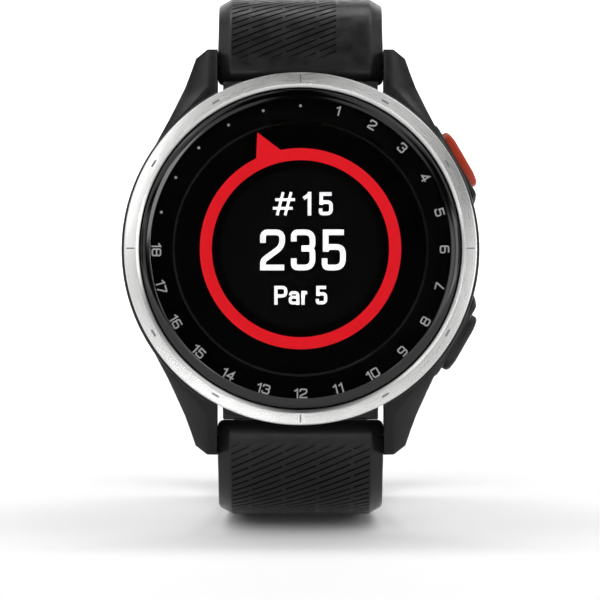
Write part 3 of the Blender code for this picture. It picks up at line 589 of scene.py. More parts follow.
def hour_marks(top, bottom):
    """The twelve engraved marks: spokes at the quarters, dashes between."""
    for hour in range(12):
        turn = radians(30.0 * hour)
        quarter = hour % 3 == 0
        radius = 20.66 if quarter else 20.6
        half_across, half_along = (0.09, 0.50) if quarter else (0.5, 0.14)
        outline = rounded_rectangle(half_across, half_along, min(half_across, half_along) * 0.8, 4)
        mark = prism(f"mark_{hour}", outline, top, bottom)
        yield placed(moved(mark, z=radius), Matrix.Rotation(turn, 4, "Y"))


def make_bezel():
    """A ring with a flat top between two chamfers, its hour marks cut and filled."""
    inner, outer, top, bottom = BEZEL_INNER_R, BEZEL_OUTER_R, BEZEL_TOP_Y, BEZEL_BOTTOM_Y
    profile = [(inner, bottom), (outer - 0.1, bottom), (outer, bottom - 0.1), (outer, top + 0.26)]
    profile += [(outer - 0.04, top + 0.18), (outer - 0.12, top + 0.14), (inner + 0.47, top)]
    profile += [(inner + 0.40, top + 0.005), (inner + 0.34, top + 0.03), (inner + 0.03, top + 0.26)]
    profile += [(inner, top + 0.31)]
    bezel = turned("bezel", profile, steps=288, closed=True, smooth_angle=20.0)
    combine(bezel, hour_marks(top - 1.0, top + 0.16), smooth_angle=20.0)
    show(bezel, "case", "bezel_steel", bezel_look(), ["bezel_ring"])
    inlays, *others = hour_marks(top + 0.12, top + 0.24)
    combine(inlays, (), others)
    inlays.name = "bezel_inlays"
    look = plain_look("bezel_inlay_look", (0.20, 0.20, 0.20), 0.5, 0.6, grain=6000.0)
    show(inlays, "case", "bezel_steel", look)


def make_glass():
    """A clear disc, and from its seam outwards a glossy black ring, like a printed rim."""
    curve = []
    for inward, outward in arc_points((0, 0), 1.0, GLASS_SEAM_ANGLE, 90, 19):
        r = GLASS_R - GLASS_RIM_WIDTH * (1 - outward)
        curve.append((r, GLASS_TOP_Y + GLASS_RIM_DEPTH * (1 - inward)))
    seam_r = curve[0][0]
    profile = [(0, GLASS_TOP_Y), (GLASS_R - GLASS_RIM_WIDTH, GLASS_TOP_Y), curve[0]]
    profile += [(seam_r, GLASS_BACK_Y), (0, GLASS_BACK_Y)]
    show(turned("glass", profile), "case", "cover_glass", glass_look(), ["cover_glass"])
    gap = 0.002
    profile = [(r + gap, y) for r, y in curve]
    profile += [(GLASS_R, GLASS_BACK_Y), (seam_r + gap, GLASS_BACK_Y)]
    edge = turned("glass_edge", profile, closed=True, smooth_angle=45.0)
    look = Look("glass_edge_look", (0.0008, 0.0008, 0.0008), 0.10)
    look.vary_roughness(look.noise(45, 4), 0.015)
    show(edge, "case", "cover_glass", look.material)
    make_glass_border()


def make_glass_border():
    """An L-shaped lining that closes the gap between the glass and the bezel."""
    inner_r, wall_r, outer_r = RING_OUTER_R + 0.01, GLASS_R + 0.01, BEZEL_INNER_R - 0.02
    front, middle, back = BEZEL_TOP_Y + 0.42, GLASS_BACK_Y + 0.01, GLASS_BACK_Y + 0.12
    profile = [(inner_r, middle), (wall_r, middle), (wall_r, front)]
    profile += [(outer_r, front), (outer_r, back), (inner_r, back)]
    border = turned("glass_border", profile, closed=True)
    look = black_look("glass_border_look", 0.0008, 0.4, grain=4000.0)
    show(border, "case", "gasket_rubber", look)


# ---- the dial

# A glyph is its stroke's relative weight and its strokes, as corners in a cell one wide
# and one high. A corner's third number, if it has one, scales how far it is rounded.
GLYPHS = {
    "0": (1.0, ((0.5, 1), (1, 1), (1, 0), (0, 0), (0, 1), (0.51, 1))),
    "1": (1.0, ((0, 0.77), (0.9, 0.955)), ((1, 1.1), (1, -0.1))),
    "2": (1.0, ((0, 0.70), (0, 1), (1, 1), (1, 0.60), (0, 0.20), (0, 0, 0), (1.1, 0))),
    "3": (1.0, ((0, 0.74), (0, 1), (1, 1), (1, 0.54, 0.7), (0.42, 0.54)),
          ((0.42, 0.54), (1, 0.54, 0.7), (1, 0), (0, 0), (0, 0.26))),
    "4": (1.0, ((0.72, -0.1), (0.72, 1, 0), (0, 0.27, 0), (1.1, 0.27))),
    "5": (1.0, ((1.05, 1), (0.06, 1, 0), (0.06, 0.45)),
          ((0.06, 0.50), (0.22, 0.585), (1, 0.585), (1, 0), (0, 0), (0, 0.26))),
    "6": (1.0, ((1, 1), (0, 1), (0, 0), (1, 0), (1, 0.56), (0, 0.56, 0))),
    "7": (1.0, ((-0.1, 1), (1, 1, 0.4), (0.30, -0.08))),
    "8": (1.0, ((0.5, 1), (1, 1), (1, 0), (0, 0), (0, 1), (0.51, 1)), ((0, 0.52), (1, 0.52))),
    "9": (1.0, ((0, 0), (1, 0), (1, 1), (0, 1), (0, 0.44), (1, 0.44, 0))),
    "#": (0.78, ((0.16, -0.07), (0.46, 1.07)), ((0.56, -0.07), (0.86, 1.07)),
          ((0.06, 0.70), (1.06, 0.70)), ((-0.06, 0.28), (0.94, 0.28))),
    "P": (1.0, ((0, -0.12), (0, 1, 0), (1, 1), (1, 0.45), (0, 0.45))),
    "a": (0.9, ((0.03, 0.48), (0.12, 0.66), (1, 0.66), (1, -0.12)),
          ((1, 0.37), (0, 0.37), (0, 0), (1, 0), (1, 0.1))),
    "r": (1.0, ((0, -0.12), (0, 0.78)), ((0, 0.34), (0.25, 0.66), (1.1, 0.66))),
}

# Lines on the display: bottom, top, half stroke, fillet, then (letter, left, right).
DISPLAY_LINES = (
    (4.31, 7.17, 0.22, 0.55, (("#", -3.44, -0.65), ("1", 0.16, 1.33), ("5", 2.26, 3.99))),
    (-2.49, 2.56, 0.35, 1.05, (("2", -4.98, -1.90), ("3", -1.18, 1.83), ("5", 2.62, 5.58))),
    (-6.70, -4.40, 0.20, 0.50,
     (("P", -3.23, -1.61), ("a", -1.46, -0.14), ("r", 0.11, 0.97), ("5", 1.88, 3.30))),
)
DISPLAY_SCALE = 0.985
DISPLAY_SHIFT_Z = -0.2


def filleted(corners, fillet):
    """The corners (place, roundness) as points, with each bend turned into a curve."""
    points = [corners[0][0]]
    for (before, _), (here, roundness), (after, _) in zip(corners, corners[1:], corners[2:]):
        reach = min(fillet * roundness, 0.48 * (before - here).length, 0.48 * (after - here).length)
        start = here + (before - here).normalized() * reach
        end = here + (after - here).normalized() * reach
        if reach < 1e-6:
            points.append(here)
            continue
        for step in range(9):
            t = step / 8
            points.append(start * (1 - t) ** 2 + here * 2 * t * (1 - t) + end * t * t)
    return points + [corners[-1][0]]


def stroke(points, half):
    """The (left, right) sides of a ribbon along the points, mitred at each."""
    sides = []
    for i, here in enumerate(points):
        before = (here - points[i - 1]).normalized() if i else None
        after = (points[i + 1] - here).normalized() if i < len(points) - 1 else None
        way = ((before or after) + (after or before)).normalized()
        spread = half / max(0.35, (before or after).dot(way))
        across = Vector((-way.y, way.x)) * spread
        sides.append((here + across, here - across))
    return sides


def add_ribbon(bm, sides, place):
    """A ribbon with a flat face and a little depth, closed all round."""
    rings = []
    for left, right in sides:
        corners = ((left, 0.0), (right, 0.0), (right, PRINT_DEPTH), (left, PRINT_DEPTH))
        rings.append([place(side.x, side.y, level) for side, level in corners])
    add_loft(bm, rings)


def add_glyph(bm, letter, left, right, bottom, top, half, fillet, place):
    weight, *strokes = GLYPHS[letter]
    half *= weight
    wide, high = right - left - 2 * half, top - bottom - 2 * half
    for corners in strokes:
        scaled = []
        for x, z, *roundness in corners:
            spot = Vector((left + half + x * wide, bottom + half + z * high))
            scaled.append((spot, roundness[0] if roundness else 1.0))
        add_ribbon(bm, stroke(filleted(scaled, fillet), half), place)


def flat_place(front_y):
    k = DISPLAY_SCALE
    return lambda x, z, depth: (k * x, front_y + depth, k * z + DISPLAY_SHIFT_Z)


def ring_place(clock, tops_inward):
    """Round the dial at a clock angle; text lies on the tangent there."""
    turn = radians(clock)
    flip = -1.0 if tops_inward else 1.0
    front_y = RING_FACE_Y - PRINT_DEPTH - 0.005

    def place(x, z, depth):
        out = NUMBER_R + flip * z
        side = flip * x
        return (
            out * sin(turn) + side * cos(turn),
            front_y + depth,
            out * cos(turn) - side * sin(turn) + RING_SHIFT_Z,
        )

    return place


def make_number_ring():
    """The dial's outer ring, with its numbers and, before number 1, its dots."""
    back = RING_FACE_Y + 0.25
    profile = [(RING_INNER_R, back), (RING_OUTER_R, back), (RING_OUTER_R, RING_FACE_Y)]
    profile += [(RING_INNER_R + 0.15, RING_FACE_Y), (RING_INNER_R, RING_FACE_Y + 0.06)]
    ring = turned("dial_ring", profile, closed=True)
    look = black_look("dial_ring_look", 0.0006, 0.4, grain=2600.0, spread=0.04, lift=1.2)
    show(ring, "case", "number_ring", look, ["number_ring"])

    top = NUMBER_HEIGHT / 2
    bm = bmesh.new()
    for number in range(1, 19):
        digits = str(number)
        widths = [NUMBER_ONE_WIDTH if digit == "1" else NUMBER_WIDTH for digit in digits]
        left = -(sum(widths) + NUMBER_GAP * (len(digits) - 1)) / 2
        place = ring_place(15.0 * number, number >= FIRST_TURNED_NUMBER)
        for digit, width in zip(digits, widths):
            add_glyph(bm, digit, left, left + width, -top, top, NUMBER_HALF_STROKE, NUMBER_FILLET, place)
            left += width + NUMBER_GAP
    numbers = finished(bm, "ring_numbers")
    # the printed numbers get a painted glow in place of the light through the glass
    show(numbers, "case", "number_ring", ink_look("ring_ink_look", (0.45, 0.45, 0.45), 0.30))

    outline = arc_points((0, 0), DOT_R, 0, 337.5, 16)
    bm = bmesh.new()
    for step in range(6):
        place = ring_place(FIRST_DOT_ANGLE + 15.0 * step, False)
        add_loft(bm, [[place(x, z, level) for x, z in outline] for level in (0.0, PRINT_DEPTH)])
    dots = finished(bm, "ring_dots")
    # the printed dots get a painted glow in place of the light through the glass
    show(dots, "case", "number_ring", ink_look("ring_dot_look", (0.5, 0.5, 0.5), 0.2))


def clock_point(radius, clock):
    turn = radians(clock)
    return (radius * sin(turn), radius * cos(turn))


def make_display_figures():
    """The hole number, the distance and the par, with the red ring and its pointer."""
    face = RING_FACE_Y - 0.005
    disc_y, red_y = face - 0.03, face - 0.04
    disc = turned("display_disc", ((0, disc_y), (DISC_R, disc_y), (DISC_R, face), (0, face)))
    look = display_black_look("display_disc_look", 0.004, 0.35)
    show(disc, "case", "display", look)

    red = [(RED_INNER_R, face), (RED_OUTER_R, face), (RED_OUTER_R, red_y), (RED_INNER_R, red_y)]
    red_ring = turned("display_ring", red, closed=True)
    base_r = RED_OUTER_R - 0.25
    tip = clock_point(POINTER_TIP_R, POINTER_ANGLE)
    left = clock_point(base_r, POINTER_ANGLE - POINTER_SPREAD + 1.6)
    right = clock_point(base_r, POINTER_ANGLE + POINTER_SPREAD + 2.0)
    combine(red_ring, (), [prism("display_pointer", (left, tip, right), red_y, face)])
    # the red ring and pointer get a painted glow in place of the light through the glass
    show(red_ring, "case", "display", ink_look("display_red_look", (0.66, 0.009, 0.016), 0.55))

    place = flat_place(disc_y - PRINT_DEPTH - 0.01)
    bm = bmesh.new()
    for bottom, top, half, fillet, letters in DISPLAY_LINES:
        for letter, left, right in letters:
            add_glyph(bm, letter, left, right, bottom, top, half, fillet, place)
    figures = finished(bm, "display_figures")
    # the white figures get a painted glow in place of the light through the glass
    show(figures, "case", "display", ink_look("display_white_look", (0.82, 0.82, 0.82), 0.75))


# ---- buttons


BUTTON_FINISHES = {
    "upper": ("button_orange", "button_orange_look", (0.36, 0.026, 0.006), 0.05, 1.1),
    "lower": ("case_polymer", "button_black_look", (0.0065, 0.0065, 0.0067), 0.06, 1.25),
}


def make_button(label):
    """A rounded cap with a slightly bowed face, on its stem."""
    shoulder = BUTTON_TOP_R - BUTTON_EDGE - 0.05
    levels = [(BUTTON_BASE_R, 0.1), (BUTTON_BASE_R + 0.1, 0.0), (shoulder, 0.0)]
    levels += arc_points((shoulder, BUTTON_EDGE), BUTTON_EDGE, -90, 0, 8)[1:]
    levels += [(BUTTON_TOP_R - 0.02, 0.95), (BUTTON_TOP_R, 1.35)]
    rings = []
    for level, inset in levels:
        outline = stadium(BUTTON_LENGTH - 2 * inset, BUTTON_HEIGHT - 2 * inset)
        bow = max(0.0, level - BUTTON_BASE_R - 0.1) / (BUTTON_TOP_R - BUTTON_BASE_R)
        rings.append([(level - bow * b * b / BUTTON_BOW_R, a + BUTTON_Y, b) for a, b in outline])
    cap = on_button_axis(lofted(f"{label}_cap", rings, 40.0), label)

    stem_r, neck_r = 0.75, 0.5
    profile = [(0, 21.4), (stem_r, 21.4), (stem_r, 16.8), (neck_r, 16.8), (neck_r, 16.3)]
    profile += [(stem_r, 16.3), (stem_r, 15.5), (stem_r - 0.1, 15.4), (0, 15.4)]
    stem = moved(turned(f"{label}_cap_stem", profile, "X", 32), y=BUTTON_Y)
    combine(cap, (), [on_button_axis(stem, label)], 40.0)

    slot, name, colour, spread, lift = BUTTON_FINISHES[label]
    look = plain_look(name, colour, 0.34, 0.0, 5000.0, spread, lift, 0.3)
    show(cap, f"{label}_button", slot, look, [f"{label}_button"])


# ---- band


def advance(y, z, heading, bend, length):
    if bend == 0.0:
        return y + length * sin(heading), z + length * cos(heading), heading
    reached = heading + bend * length
    y += (cos(heading) - cos(reached)) / bend
    z += (sin(reached) - sin(heading)) / bend
    return y, z, reached


def band_route(runs):
    """Joints of the centre line: (distance, y, z, heading, bend), from the spring bar."""
    knots = [(0.0, 0.0, 0.0, radians(START_HEADING), 0.0)]
    for radius, amount in runs:
        distance, y, z, heading, _ = knots[-1]
        bend = 1.0 / radius if radius else 0.0
        length = radius * (radians(amount) - heading) if radius else amount
        knots[-1] = (distance, y, z, heading, bend)
        y, z, heading = advance(y, z, heading, bend, length)
        knots.append((distance + length, y, z, heading, 0.0))
    return knots


def band_offset(route, distance, lift, side):
    """A point (y, z) of the watch, lift above the band's centre line, and the heading."""
    knot = route[0]
    for candidate in route:
        if candidate[0] <= distance:
            knot = candidate
    bend = knot[4] if distance >= 0 else 0.0
    y, z, heading = advance(knot[1], knot[2], knot[3], bend, distance - knot[0])
    y -= lift * cos(heading)
    z += lift * sin(heading)
    return BAR_Y + y, side * (BAR_Z + z), heading


def blend(value, low, high):
    t = min(1.0, max(0.0, (value - low) / (high - low)))
    return t * t * (3 - 2 * t)


def band_half_width(distance):
    wide = BAND_LUG_HALF_WIDTH + (BAND_HALF_WIDTH - BAND_LUG_HALF_WIDTH) * blend(distance, 2.5, 5.0)
    return wide + (BAND_TAIL_HALF_WIDTH - wide) * blend(distance, 12.0, 45.0)


def band_half_thickness(distance):
    middle = BAND_NOSE_R + (1.45 - BAND_NOSE_R) * blend(distance, 2.0, 16.0)
    return middle + (BAND_TAIL_HALF_THICKNESS - middle) * blend(distance, 25.0, 60.0)


def face_half(half_width):
    """Half the flat outer face, inside the two chamfers."""
    return half_width - min(CHAMFER_WIDTH, 0.8 * half_width)


def band_edge(half_width, thick):
    """(x, lift) down one side of the band: its chamfer, wall and wrist-side corner."""
    flat, wall = face_half(half_width), half_width
    drop = min(CHAMFER_DEPTH, 0.6 * thick)
    soft = min(0.35, 0.3 * thick)
    edge = [(flat + 0.12, thick - 0.035 * drop), (flat + 0.3, thick - 0.14 * drop)]
    edge += [(wall - 0.3, thick - 0.80 * drop), (wall - 0.1, thick - 0.95 * drop)]
    edge += [(wall - 0.02, thick - 1.12 * drop), (wall, soft - thick + 0.1)]
    return edge + [(wall - 0.1, soft * 0.35 - thick), (wall - soft, -thick)]


class Band:
    """One half of the band: its route, its grooved stretch and its cross-sections."""

    def __init__(self, runs, side, grooves_x, grooves_end, crown):
        self.crown = crown
        self.route = band_route(runs)
        self.side = side
        self.length = self.route[-1][0]
        self.grooves_x = grooves_x
        self.grooves_end = grooves_end
        self.columns = self.outer_columns()

    def outer_columns(self):
        """X places across the outer face: a pair at each groove end, and some between."""
        low, high = self.grooves_x
        edges = [low, high]
        for middle in GROOVE_BREAKS:
            if low < middle < high:
                edges += [middle - GROOVE_BREAK_HALF, middle + GROOVE_BREAK_HALF]
        places = {-BAND_FACE_HALF, BAND_FACE_HALF}
        for edge in edges:
            places |= {edge - 0.045, edge + 0.045}
        places = sorted(p for p in places if abs(p) <= BAND_FACE_HALF)
        filled = []
        for left, right in zip(places, places[1:]):
            pieces = max(1, ceil((right - left) / 0.75))
            filled += [left + (right - left) * i / pieces for i in range(pieces)]
        return filled + [places[-1]]

    def centre_distance(self, outer):
        """Turns a distance along the outer face into one along the centre line."""
        left = outer
        for knot, following in zip(self.route, self.route[1:]):
            stretch = 1.0 + knot[4] * OUTER_LIFT
            if left < (following[0] - knot[0]) * stretch or following is self.route[-1]:
                return knot[0] + left / stretch
            left -= (following[0] - knot[0]) * stretch

    def point(self, x, lift, distance):
        if lift > 0:
            lift += self.crown * blend(distance, 3.0, 9.0) * (1.0 - blend(distance, 15.0, 26.0))
        y, z, _ = band_offset(self.route, distance, lift, self.side)
        return (x, y, z)

    def groove_depth(self, x, odd, distance):
        """Odd grooves are broken into dashes; all fade out at the stretch's two ends."""
        low, high = self.grooves_x
        broken = odd and any(abs(x - middle) < GROOVE_BREAK_HALF for middle in GROOVE_BREAKS)
        if broken or not low < x < high:
            return 0.0
        end = self.grooves_end
        return GROOVE_DEPTH * blend(distance, 0.6, 2.2) * (1.0 - blend(distance, end - 1.2, end))

    def ring(self, sizes, share=0.0, odd=False):
        """A closed ring of points; sizes gives (distance, half width, half thickness) at x."""
        ring = []
        for x in self.columns:
            here, width, thick = sizes(x)
            depth = share * self.groove_depth(x, odd, here)
            ring.append(self.point(x * face_half(width) / BAND_FACE_HALF, thick - depth, here))
        here, width, thick = sizes(BAND_FACE_HALF)
        edge = band_edge(width, thick)
        ring += [self.point(x, lift, here) for x, lift in edge]
        flat, corner = face_half(width), edge[-1][0]
        for i in range(1, 12):
            x = corner * (1 - 2 * i / 12)
            across = max(-1.0, min(1.0, x / flat))
            here, _, thick = sizes(BAND_FACE_HALF * across)
            ring.append(self.point(x, -thick, here))
        here, width, thick = sizes(-BAND_FACE_HALF)
        return ring + [self.point(-x, lift, here) for x, lift in band_edge(width, thick)[::-1]]

    def section(self, distance, half_width=None, half_thickness=None):
        """A slice square to the band, with the band's own size unless one is given."""
        width = band_half_width(distance) if half_width is None else half_width
        thick = band_half_thickness(distance) if half_thickness is None else half_thickness
        return self.ring(lambda x: (distance, width, thick))

    def slanted(self, outer, share, odd):
        """A slice along the grooves, from its distance along the outer face at x = 0."""

        def sizes(x):
            across = max(-BAND_FACE_HALF, min(BAND_FACE_HALF, x))
            here = self.centre_distance(outer + self.side * GROOVE_SLOPE * across)
            here = max(GROOVES_START, min(self.grooves_end, here))
            return here, band_half_width(here), band_half_thickness(here)

        return self.ring(sizes, share, odd)

    def nose(self, end, radius, towards, width):
        """Slices that round off an end of the band about its bar."""
        rings = []
        for degrees in (86, 78, 68, 57, 45, 33, 21, 10):
            turn = radians(degrees)
            inset = 0.855 * (1 - cos(radians(max(0.0, (degrees - 20) * 1.25))))
            place = end + towards * radius * sin(turn)
            rings.append(self.section(place, width - inset, radius * cos(turn)))
        return rings if towards < 0 else rings[::-1]

    def grooved_rings(self):
        reach = BAND_FACE_HALF * GROOVE_SLOPE
        count = ceil((1.1 * self.grooves_end + 2.0 + 2 * reach) / GROOVE_PITCH)
        rings = []
        for number in range(count + 1):
            middle = GROOVES_START - reach + number * GROOVE_PITCH
            odd = number % 2 == 1
            for offset, share in ((-1.0, 0.0), (-0.5, 1.0), (0.5, 1.0), (1.0, 0.0)):
                rings.append(self.slanted(middle + offset * GROOVE_HALF_WIDTH, share, odd))
            rings.append(self.slanted(middle + GROOVE_PITCH / 2, 0.0, odd))
        return rings

    def plain_rings(self, end):
        """Slices from the grooves' end up to another distance."""
        rings = []
        place = self.grooves_end + BAND_SLICE
        while place < end:
            rings.append(self.section(place))
            place += BAND_SLICE
        return rings


def bore(name, radius, y, z):
    return moved(rod(name, radius, -13.0, 13.0, 40), y=y, z=z)


def slanted_box(name, route, side, near, far, low, high, x_low, x_high):
    """A cutter square to the band: along it from near to far, through it low to high."""
    outline = []
    for along, lift in ((near, low), (far, low), (far, high), (near, high)):
        y, z, _ = band_offset(route, along, lift, side)
        outline.append((y, z))
    return prism(name, outline, x_low, x_high, along="X")


def release_notch(band, label):
    return slanted_box(f"notch_{label}", band.route[:1], band.side, -1.3, 1.3, -3.5, 0.6, 4.3, 8.4)


def make_upper_band(look):
    band = Band(UPPER_RUNS, 1, grooves_x=(-8.4, 4.4), grooves_end=56.0, crown=0.5)
    end = band.length
    tail, end_r = BAND_TAIL_HALF_WIDTH - 0.05, 1.6
    rings = band.nose(0.0, BAND_NOSE_R, -1, BAND_LUG_HALF_WIDTH)
    rings += band.grooved_rings() + band.plain_rings(end - 3.0)
    for before, thick in ((2.4, 1.42), (1.2, 1.53), (0.0, end_r)):
        rings.append(band.section(end - before, tail, thick))
    rings += band.nose(end, end_r, 1, tail)
    piece = lofted("band_upper_half", rings, 25.0, 2e-4)
    y, z, _ = band_offset(band.route, end, 0.0, 1)
    slot = slanted_box("tongue_slot", band.route, 1, end - 3.4, end + 3.0, -3.0, 3.0, -1.6, 1.6)
    bores = [bore("bore_upper", BAR_BORE_R, BAR_Y, BAR_Z), bore("bore_buckle", BUCKLE_BORE_R, y, z)]
    combine(piece, [*bores, release_notch(band, "upper"), slot], smooth_angle=25.0)
    show(piece, "upper_band", "band_silicone", look, ["upper_band"])
    return band


def make_lower_band(look):
    band = Band(LOWER_RUNS, -1, grooves_x=(-8.4, 8.45), grooves_end=27.5, crown=0.2)
    rings = band.nose(0.0, BAND_NOSE_R, -1, BAND_LUG_HALF_WIDTH)
    rings += band.grooved_rings() + band.plain_rings(band.length - TIP_LENGTH)
    steps = 18
    for step in range(steps + 1):
        share = sin(radians(90.0 * step / steps))
        rounding = sqrt(max(0.0, 1.0 - share * share))
        width = TIP_HALF_WIDTH + (BAND_TAIL_HALF_WIDTH - TIP_HALF_WIDTH) * rounding
        thick = BAND_TAIL_HALF_THICKNESS - 0.1 * share - (0.3 if step == steps else 0.0)
        rings.append(band.section(band.length - TIP_LENGTH + TIP_LENGTH * share, width, thick))
    piece = lofted("band_lower_half", rings, 25.0, 2e-4)
    cutters = [bore("bore_lower", BAR_BORE_R, BAR_Y, -BAR_Z), release_notch(band, "lower")]
    combine(piece, [*cutters, *sizing_holes(band)], smooth_angle=25.0)
    show(piece, "lower_band", "band_silicone", look, ["lower_band"])


def sizing_holes(band):
    """A cutter for each sizing hole, square to the band, with its lips broken."""
    lip, half = 0.18, 1.3
    profile = [(0, -half - 1), (HOLE_R + lip + 1, -half - 1), (HOLE_R + lip, -half), (HOLE_R, -half + lip)]
    profile += [(r, -place) for r, place in profile[::-1]]
    for number in range(HOLE_COUNT):
        distance = band.length - HOLE_FROM_TIP - number * HOLE_PITCH
        y, z, heading = band_offset(band.route, distance, 0.0, band.side)
        outward = Vector((0, -cos(heading), band.side * sin(heading)))
        turn = AXIS_Y.rotation_difference(outward).to_matrix().to_4x4()
        yield moved(placed(turned(f"hole_{number}", profile, steps=32), turn), y=y, z=z)


# ---- buckle and keepers


def seat_at(band, distance):
    """A matrix from (across, along the band, outward) to the watch, in metres."""
    y, z, heading = band_offset(band.route, distance, 0.0, 1)
    along = Vector((0, sin(heading), cos(heading)))
    outward = Vector((0, -cos(heading), sin(heading)))
    across = along.cross(outward)
    turn = Matrix((across, along, outward)).transposed().to_4x4()
    return Matrix.Translation(Vector((0, y, z)) * MM) @ turn


def make_buckle(band):
    """The frame and, on the same bar, its tongue; both are drawn in the seat's axes."""
    seat = seat_at(band, band.length)
    look = steel_look("buckle_steel_look", (0.085, 0.085, 0.09), 0.32)
    outside = arc_points((BUCKLE_OUTER_HALF - 0.8, -0.9), 0.8, -90, 0, 6)
    outside += arc_points((BUCKLE_OUTER_HALF - 3.0, BUCKLE_REACH - 2.0), 3.0, 0, 90, 14)
    outside += [(-x, y) for x, y in outside[::-1]]
    frame_ring = prism("buckle_loop", outside, -BUCKLE_HALF_HEIGHT, BUCKLE_HALF_HEIGHT, along="Z")
    inside = [(BUCKLE_INNER_HALF, -4.0)]
    inside += arc_points((BUCKLE_INNER_HALF - 1.5, BUCKLE_REACH - 3.7), 1.5, 0, 90, 8)
    inside += [(-x, y) for x, y in inside[::-1]]
    window = prism("buckle_window", inside, -3.0, 3.0, along="Z")
    rest = moved(rod("rest_groove", 0.7, -1.5, 1.5), y=BUCKLE_REACH - 0.6, z=1.55)
    combine(frame_ring, [window, rod("buckle_bore", BUCKLE_BORE_R, -13, 13), rest])
    rounded(frame_ring, 0.3)
    show(placed(frame_ring, seat), "buckle", "buckle_steel", look, ["buckle_frame"])

    outline = [(2.2, 0.25), (4.0, 1.35), (10.2, 1.35), (10.55, 1.6), (10.4, 2.0), (9.9, 2.2)]
    outline += [(3.6, 2.2), (2.6, 1.9)] + arc_points((0, 0), TONGUE_EYE_R, 30, 300, 28)
    tongue = prism("tongue", outline, -TONGUE_HALF_WIDTH, TONGUE_HALF_WIDTH, "X", 40.0)
    combine(tongue, [rod("tongue_bore", BUCKLE_BORE_R, -3, 3)])
    rounded(tongue, 0.22)
    show(placed(tongue, seat), "tongue", "buckle_steel", look, ["buckle_tongue"])


def make_keeper(name, band, from_end, body, look):
    """A flat loop round the band, with room above it for the other half."""
    half = KEEPER_LENGTH / 2
    slices = [(-half, 0.35), (-half + 0.12, 0.12), (-half + 0.4, 0.0)]
    slices += [(-along, inset) for along, inset in slices[::-1]]
    rings = []
    for along, inset in slices:
        outline = rounded_rectangle(BAND_TAIL_HALF_WIDTH + 1.5 - inset, 4.1 - inset, 1.4 - inset * 0.5, 10)
        rings.append([(a, along, b + KEEPER_LIFT) for a, b in outline])
    keeper = lofted(f"{name}_loop", rings, 45.0)
    inner = [(a, b + KEEPER_LIFT) for a, b in rounded_rectangle(BAND_TAIL_HALF_WIDTH + 0.3, 2.95, 0.8, 8)]
    combine(keeper, [prism(f"{name}_hollow", inner, -half - 2, half + 2)], smooth_angle=40.0)
    seat = seat_at(band, band.length - from_end)
    show(placed(keeper, seat), body, "band_silicone", look, [name])


# ---- rear cover


def make_rear_cover(look):
    """A shallow dome with four screw holes, the port's opening and a fine turned line."""
    profile = [(0, 0), (14.6, 0), (15.0, -0.03), (15.4, -0.10), (18.6, -0.66), (19.2, -0.86)]
    profile += [(19.8, -1.12), (20.1, -1.36), (20.2, -1.6), (20.2, -2.1), (16.3, -2.1)]
    profile += [(16.3, -2.8), (15.6, -2.8), (15.6, -1.2), (0, -1.2)]
    cover = turned("back_cover", profile)
    step = [(0, 1.0), (1.25, 1.0), (1.25, -0.62), (1.15, -0.72)]
    step += [(1.15, -1.35), (0.72, -1.35), (0.72, -4.0), (0, -4.0)]
    cutters = []
    for number, angle in enumerate((45, 135, 225, 315), start=1):
        x, z = clock_point(SCREW_CIRCLE_R, angle)
        cutters.append(moved(turned(f"cover_hole_{number}", step, steps=40), x=x, z=z))
    port = prism("port_opening", rounded_rectangle(4.3, 1.9, 0.5), -4.0, 2.0)
    cutters.append(moved(port, z=PORT_Z))
    groove = [(13.2, -0.08), (13.5, -0.08), (13.5, 1.0), (13.2, 1.0)]
    cutters.append(turned("cover_line", groove, closed=True))
    combine(cover, cutters)
    show(cover, "case", "case_polymer", look, ["rear_cover"])


# ---- finishes on the CAD's nodes


def dress_nodes():
    """Gives every node that stays on show a finish of its own."""
    bright = steel_look("small_steel_look", (0.56, 0.56, 0.57), 0.26)
    dark = steel_look("bar_steel_look", (0.03, 0.03, 0.032), 0.4)
    rubber = plain_look("gasket_look", (0.018, 0.018, 0.018), 0.65, grain=4000.0)
    polymer = plain_look("inner_polymer_look", (0.05, 0.05, 0.055), 0.55)
    gold = plain_look("contact_gold_look", (0.83, 0.60, 0.25), 0.24, 1.0, grain=6000.0, lift=1.05)
    looks = {
        "glass_gasket": rubber,
        "rear_gasket": rubber,
        "display_module": display_black_look("display_black_look", 0.0006, 0.3),
        "display_flex": plain_look("flex_look", (0.35, 0.17, 0.04), 0.4),
        "inner_frame": polymer,
        "gps_antenna": plain_look("antenna_look", (0.55, 0.30, 0.16), 0.34, 1.0),
        "main_board": plain_look("board_look", (0.01, 0.10, 0.04), 0.42, lift=1.4),
        "shield_can": steel_look("shield_look", (0.6, 0.6, 0.58), 0.34),
        "battery": plain_look("battery_look", (0.45, 0.46, 0.48), 0.38, 0.6),
        "vibration_motor": steel_look("motor_look", (0.5, 0.5, 0.5), 0.3),
        "charge_port": polymer,
        "buckle_bar": bright,
    }
    numbered = (("board_screw", 2, bright), ("rear_screw", 4, bright), ("charge_contact", 4, gold))
    for piece, count, look in numbered:
        for number in range(1, count + 1):
            looks[f"{piece}_{number}"] = look
    paired = {"button_seal": rubber, "button_switch": polymer, "button_spring": bright}
    paired |= {"button_clip": bright, "spring_bar": dark, "bar_tip": dark, "release_lever": dark}
    for label in BUTTON_ANGLES:
        looks |= {f"{label}_{piece}": look for piece, look in paired.items()}
    for name, look in looks.items():
        dress(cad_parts[name], look)


# ---- floor, lights and camera

FLOOR_TILT = 6.0
TOUCH_Y = 26.0
TOUCH_Z = -31.45
STAGE_FRONT_Y = -3500.0
STAGE_BACK_Y = 1500.0
STAGE_HALF_WIDTH = 3500.0
STAGE_BEND_R = 400.0
STAGE_WALL = 1500.0
TENT_RANGE = (230.0, 480.0)
NEAR_GLOW = 0.01
CAMERA_DISTANCE = 600.0
VIEW_WIDTH = 73.3
CAMERA_PITCH = 2.8
AIM = (-0.06, -8.0, -6.1)
PANEL_REACH = 480.0
SENSOR = 36.0


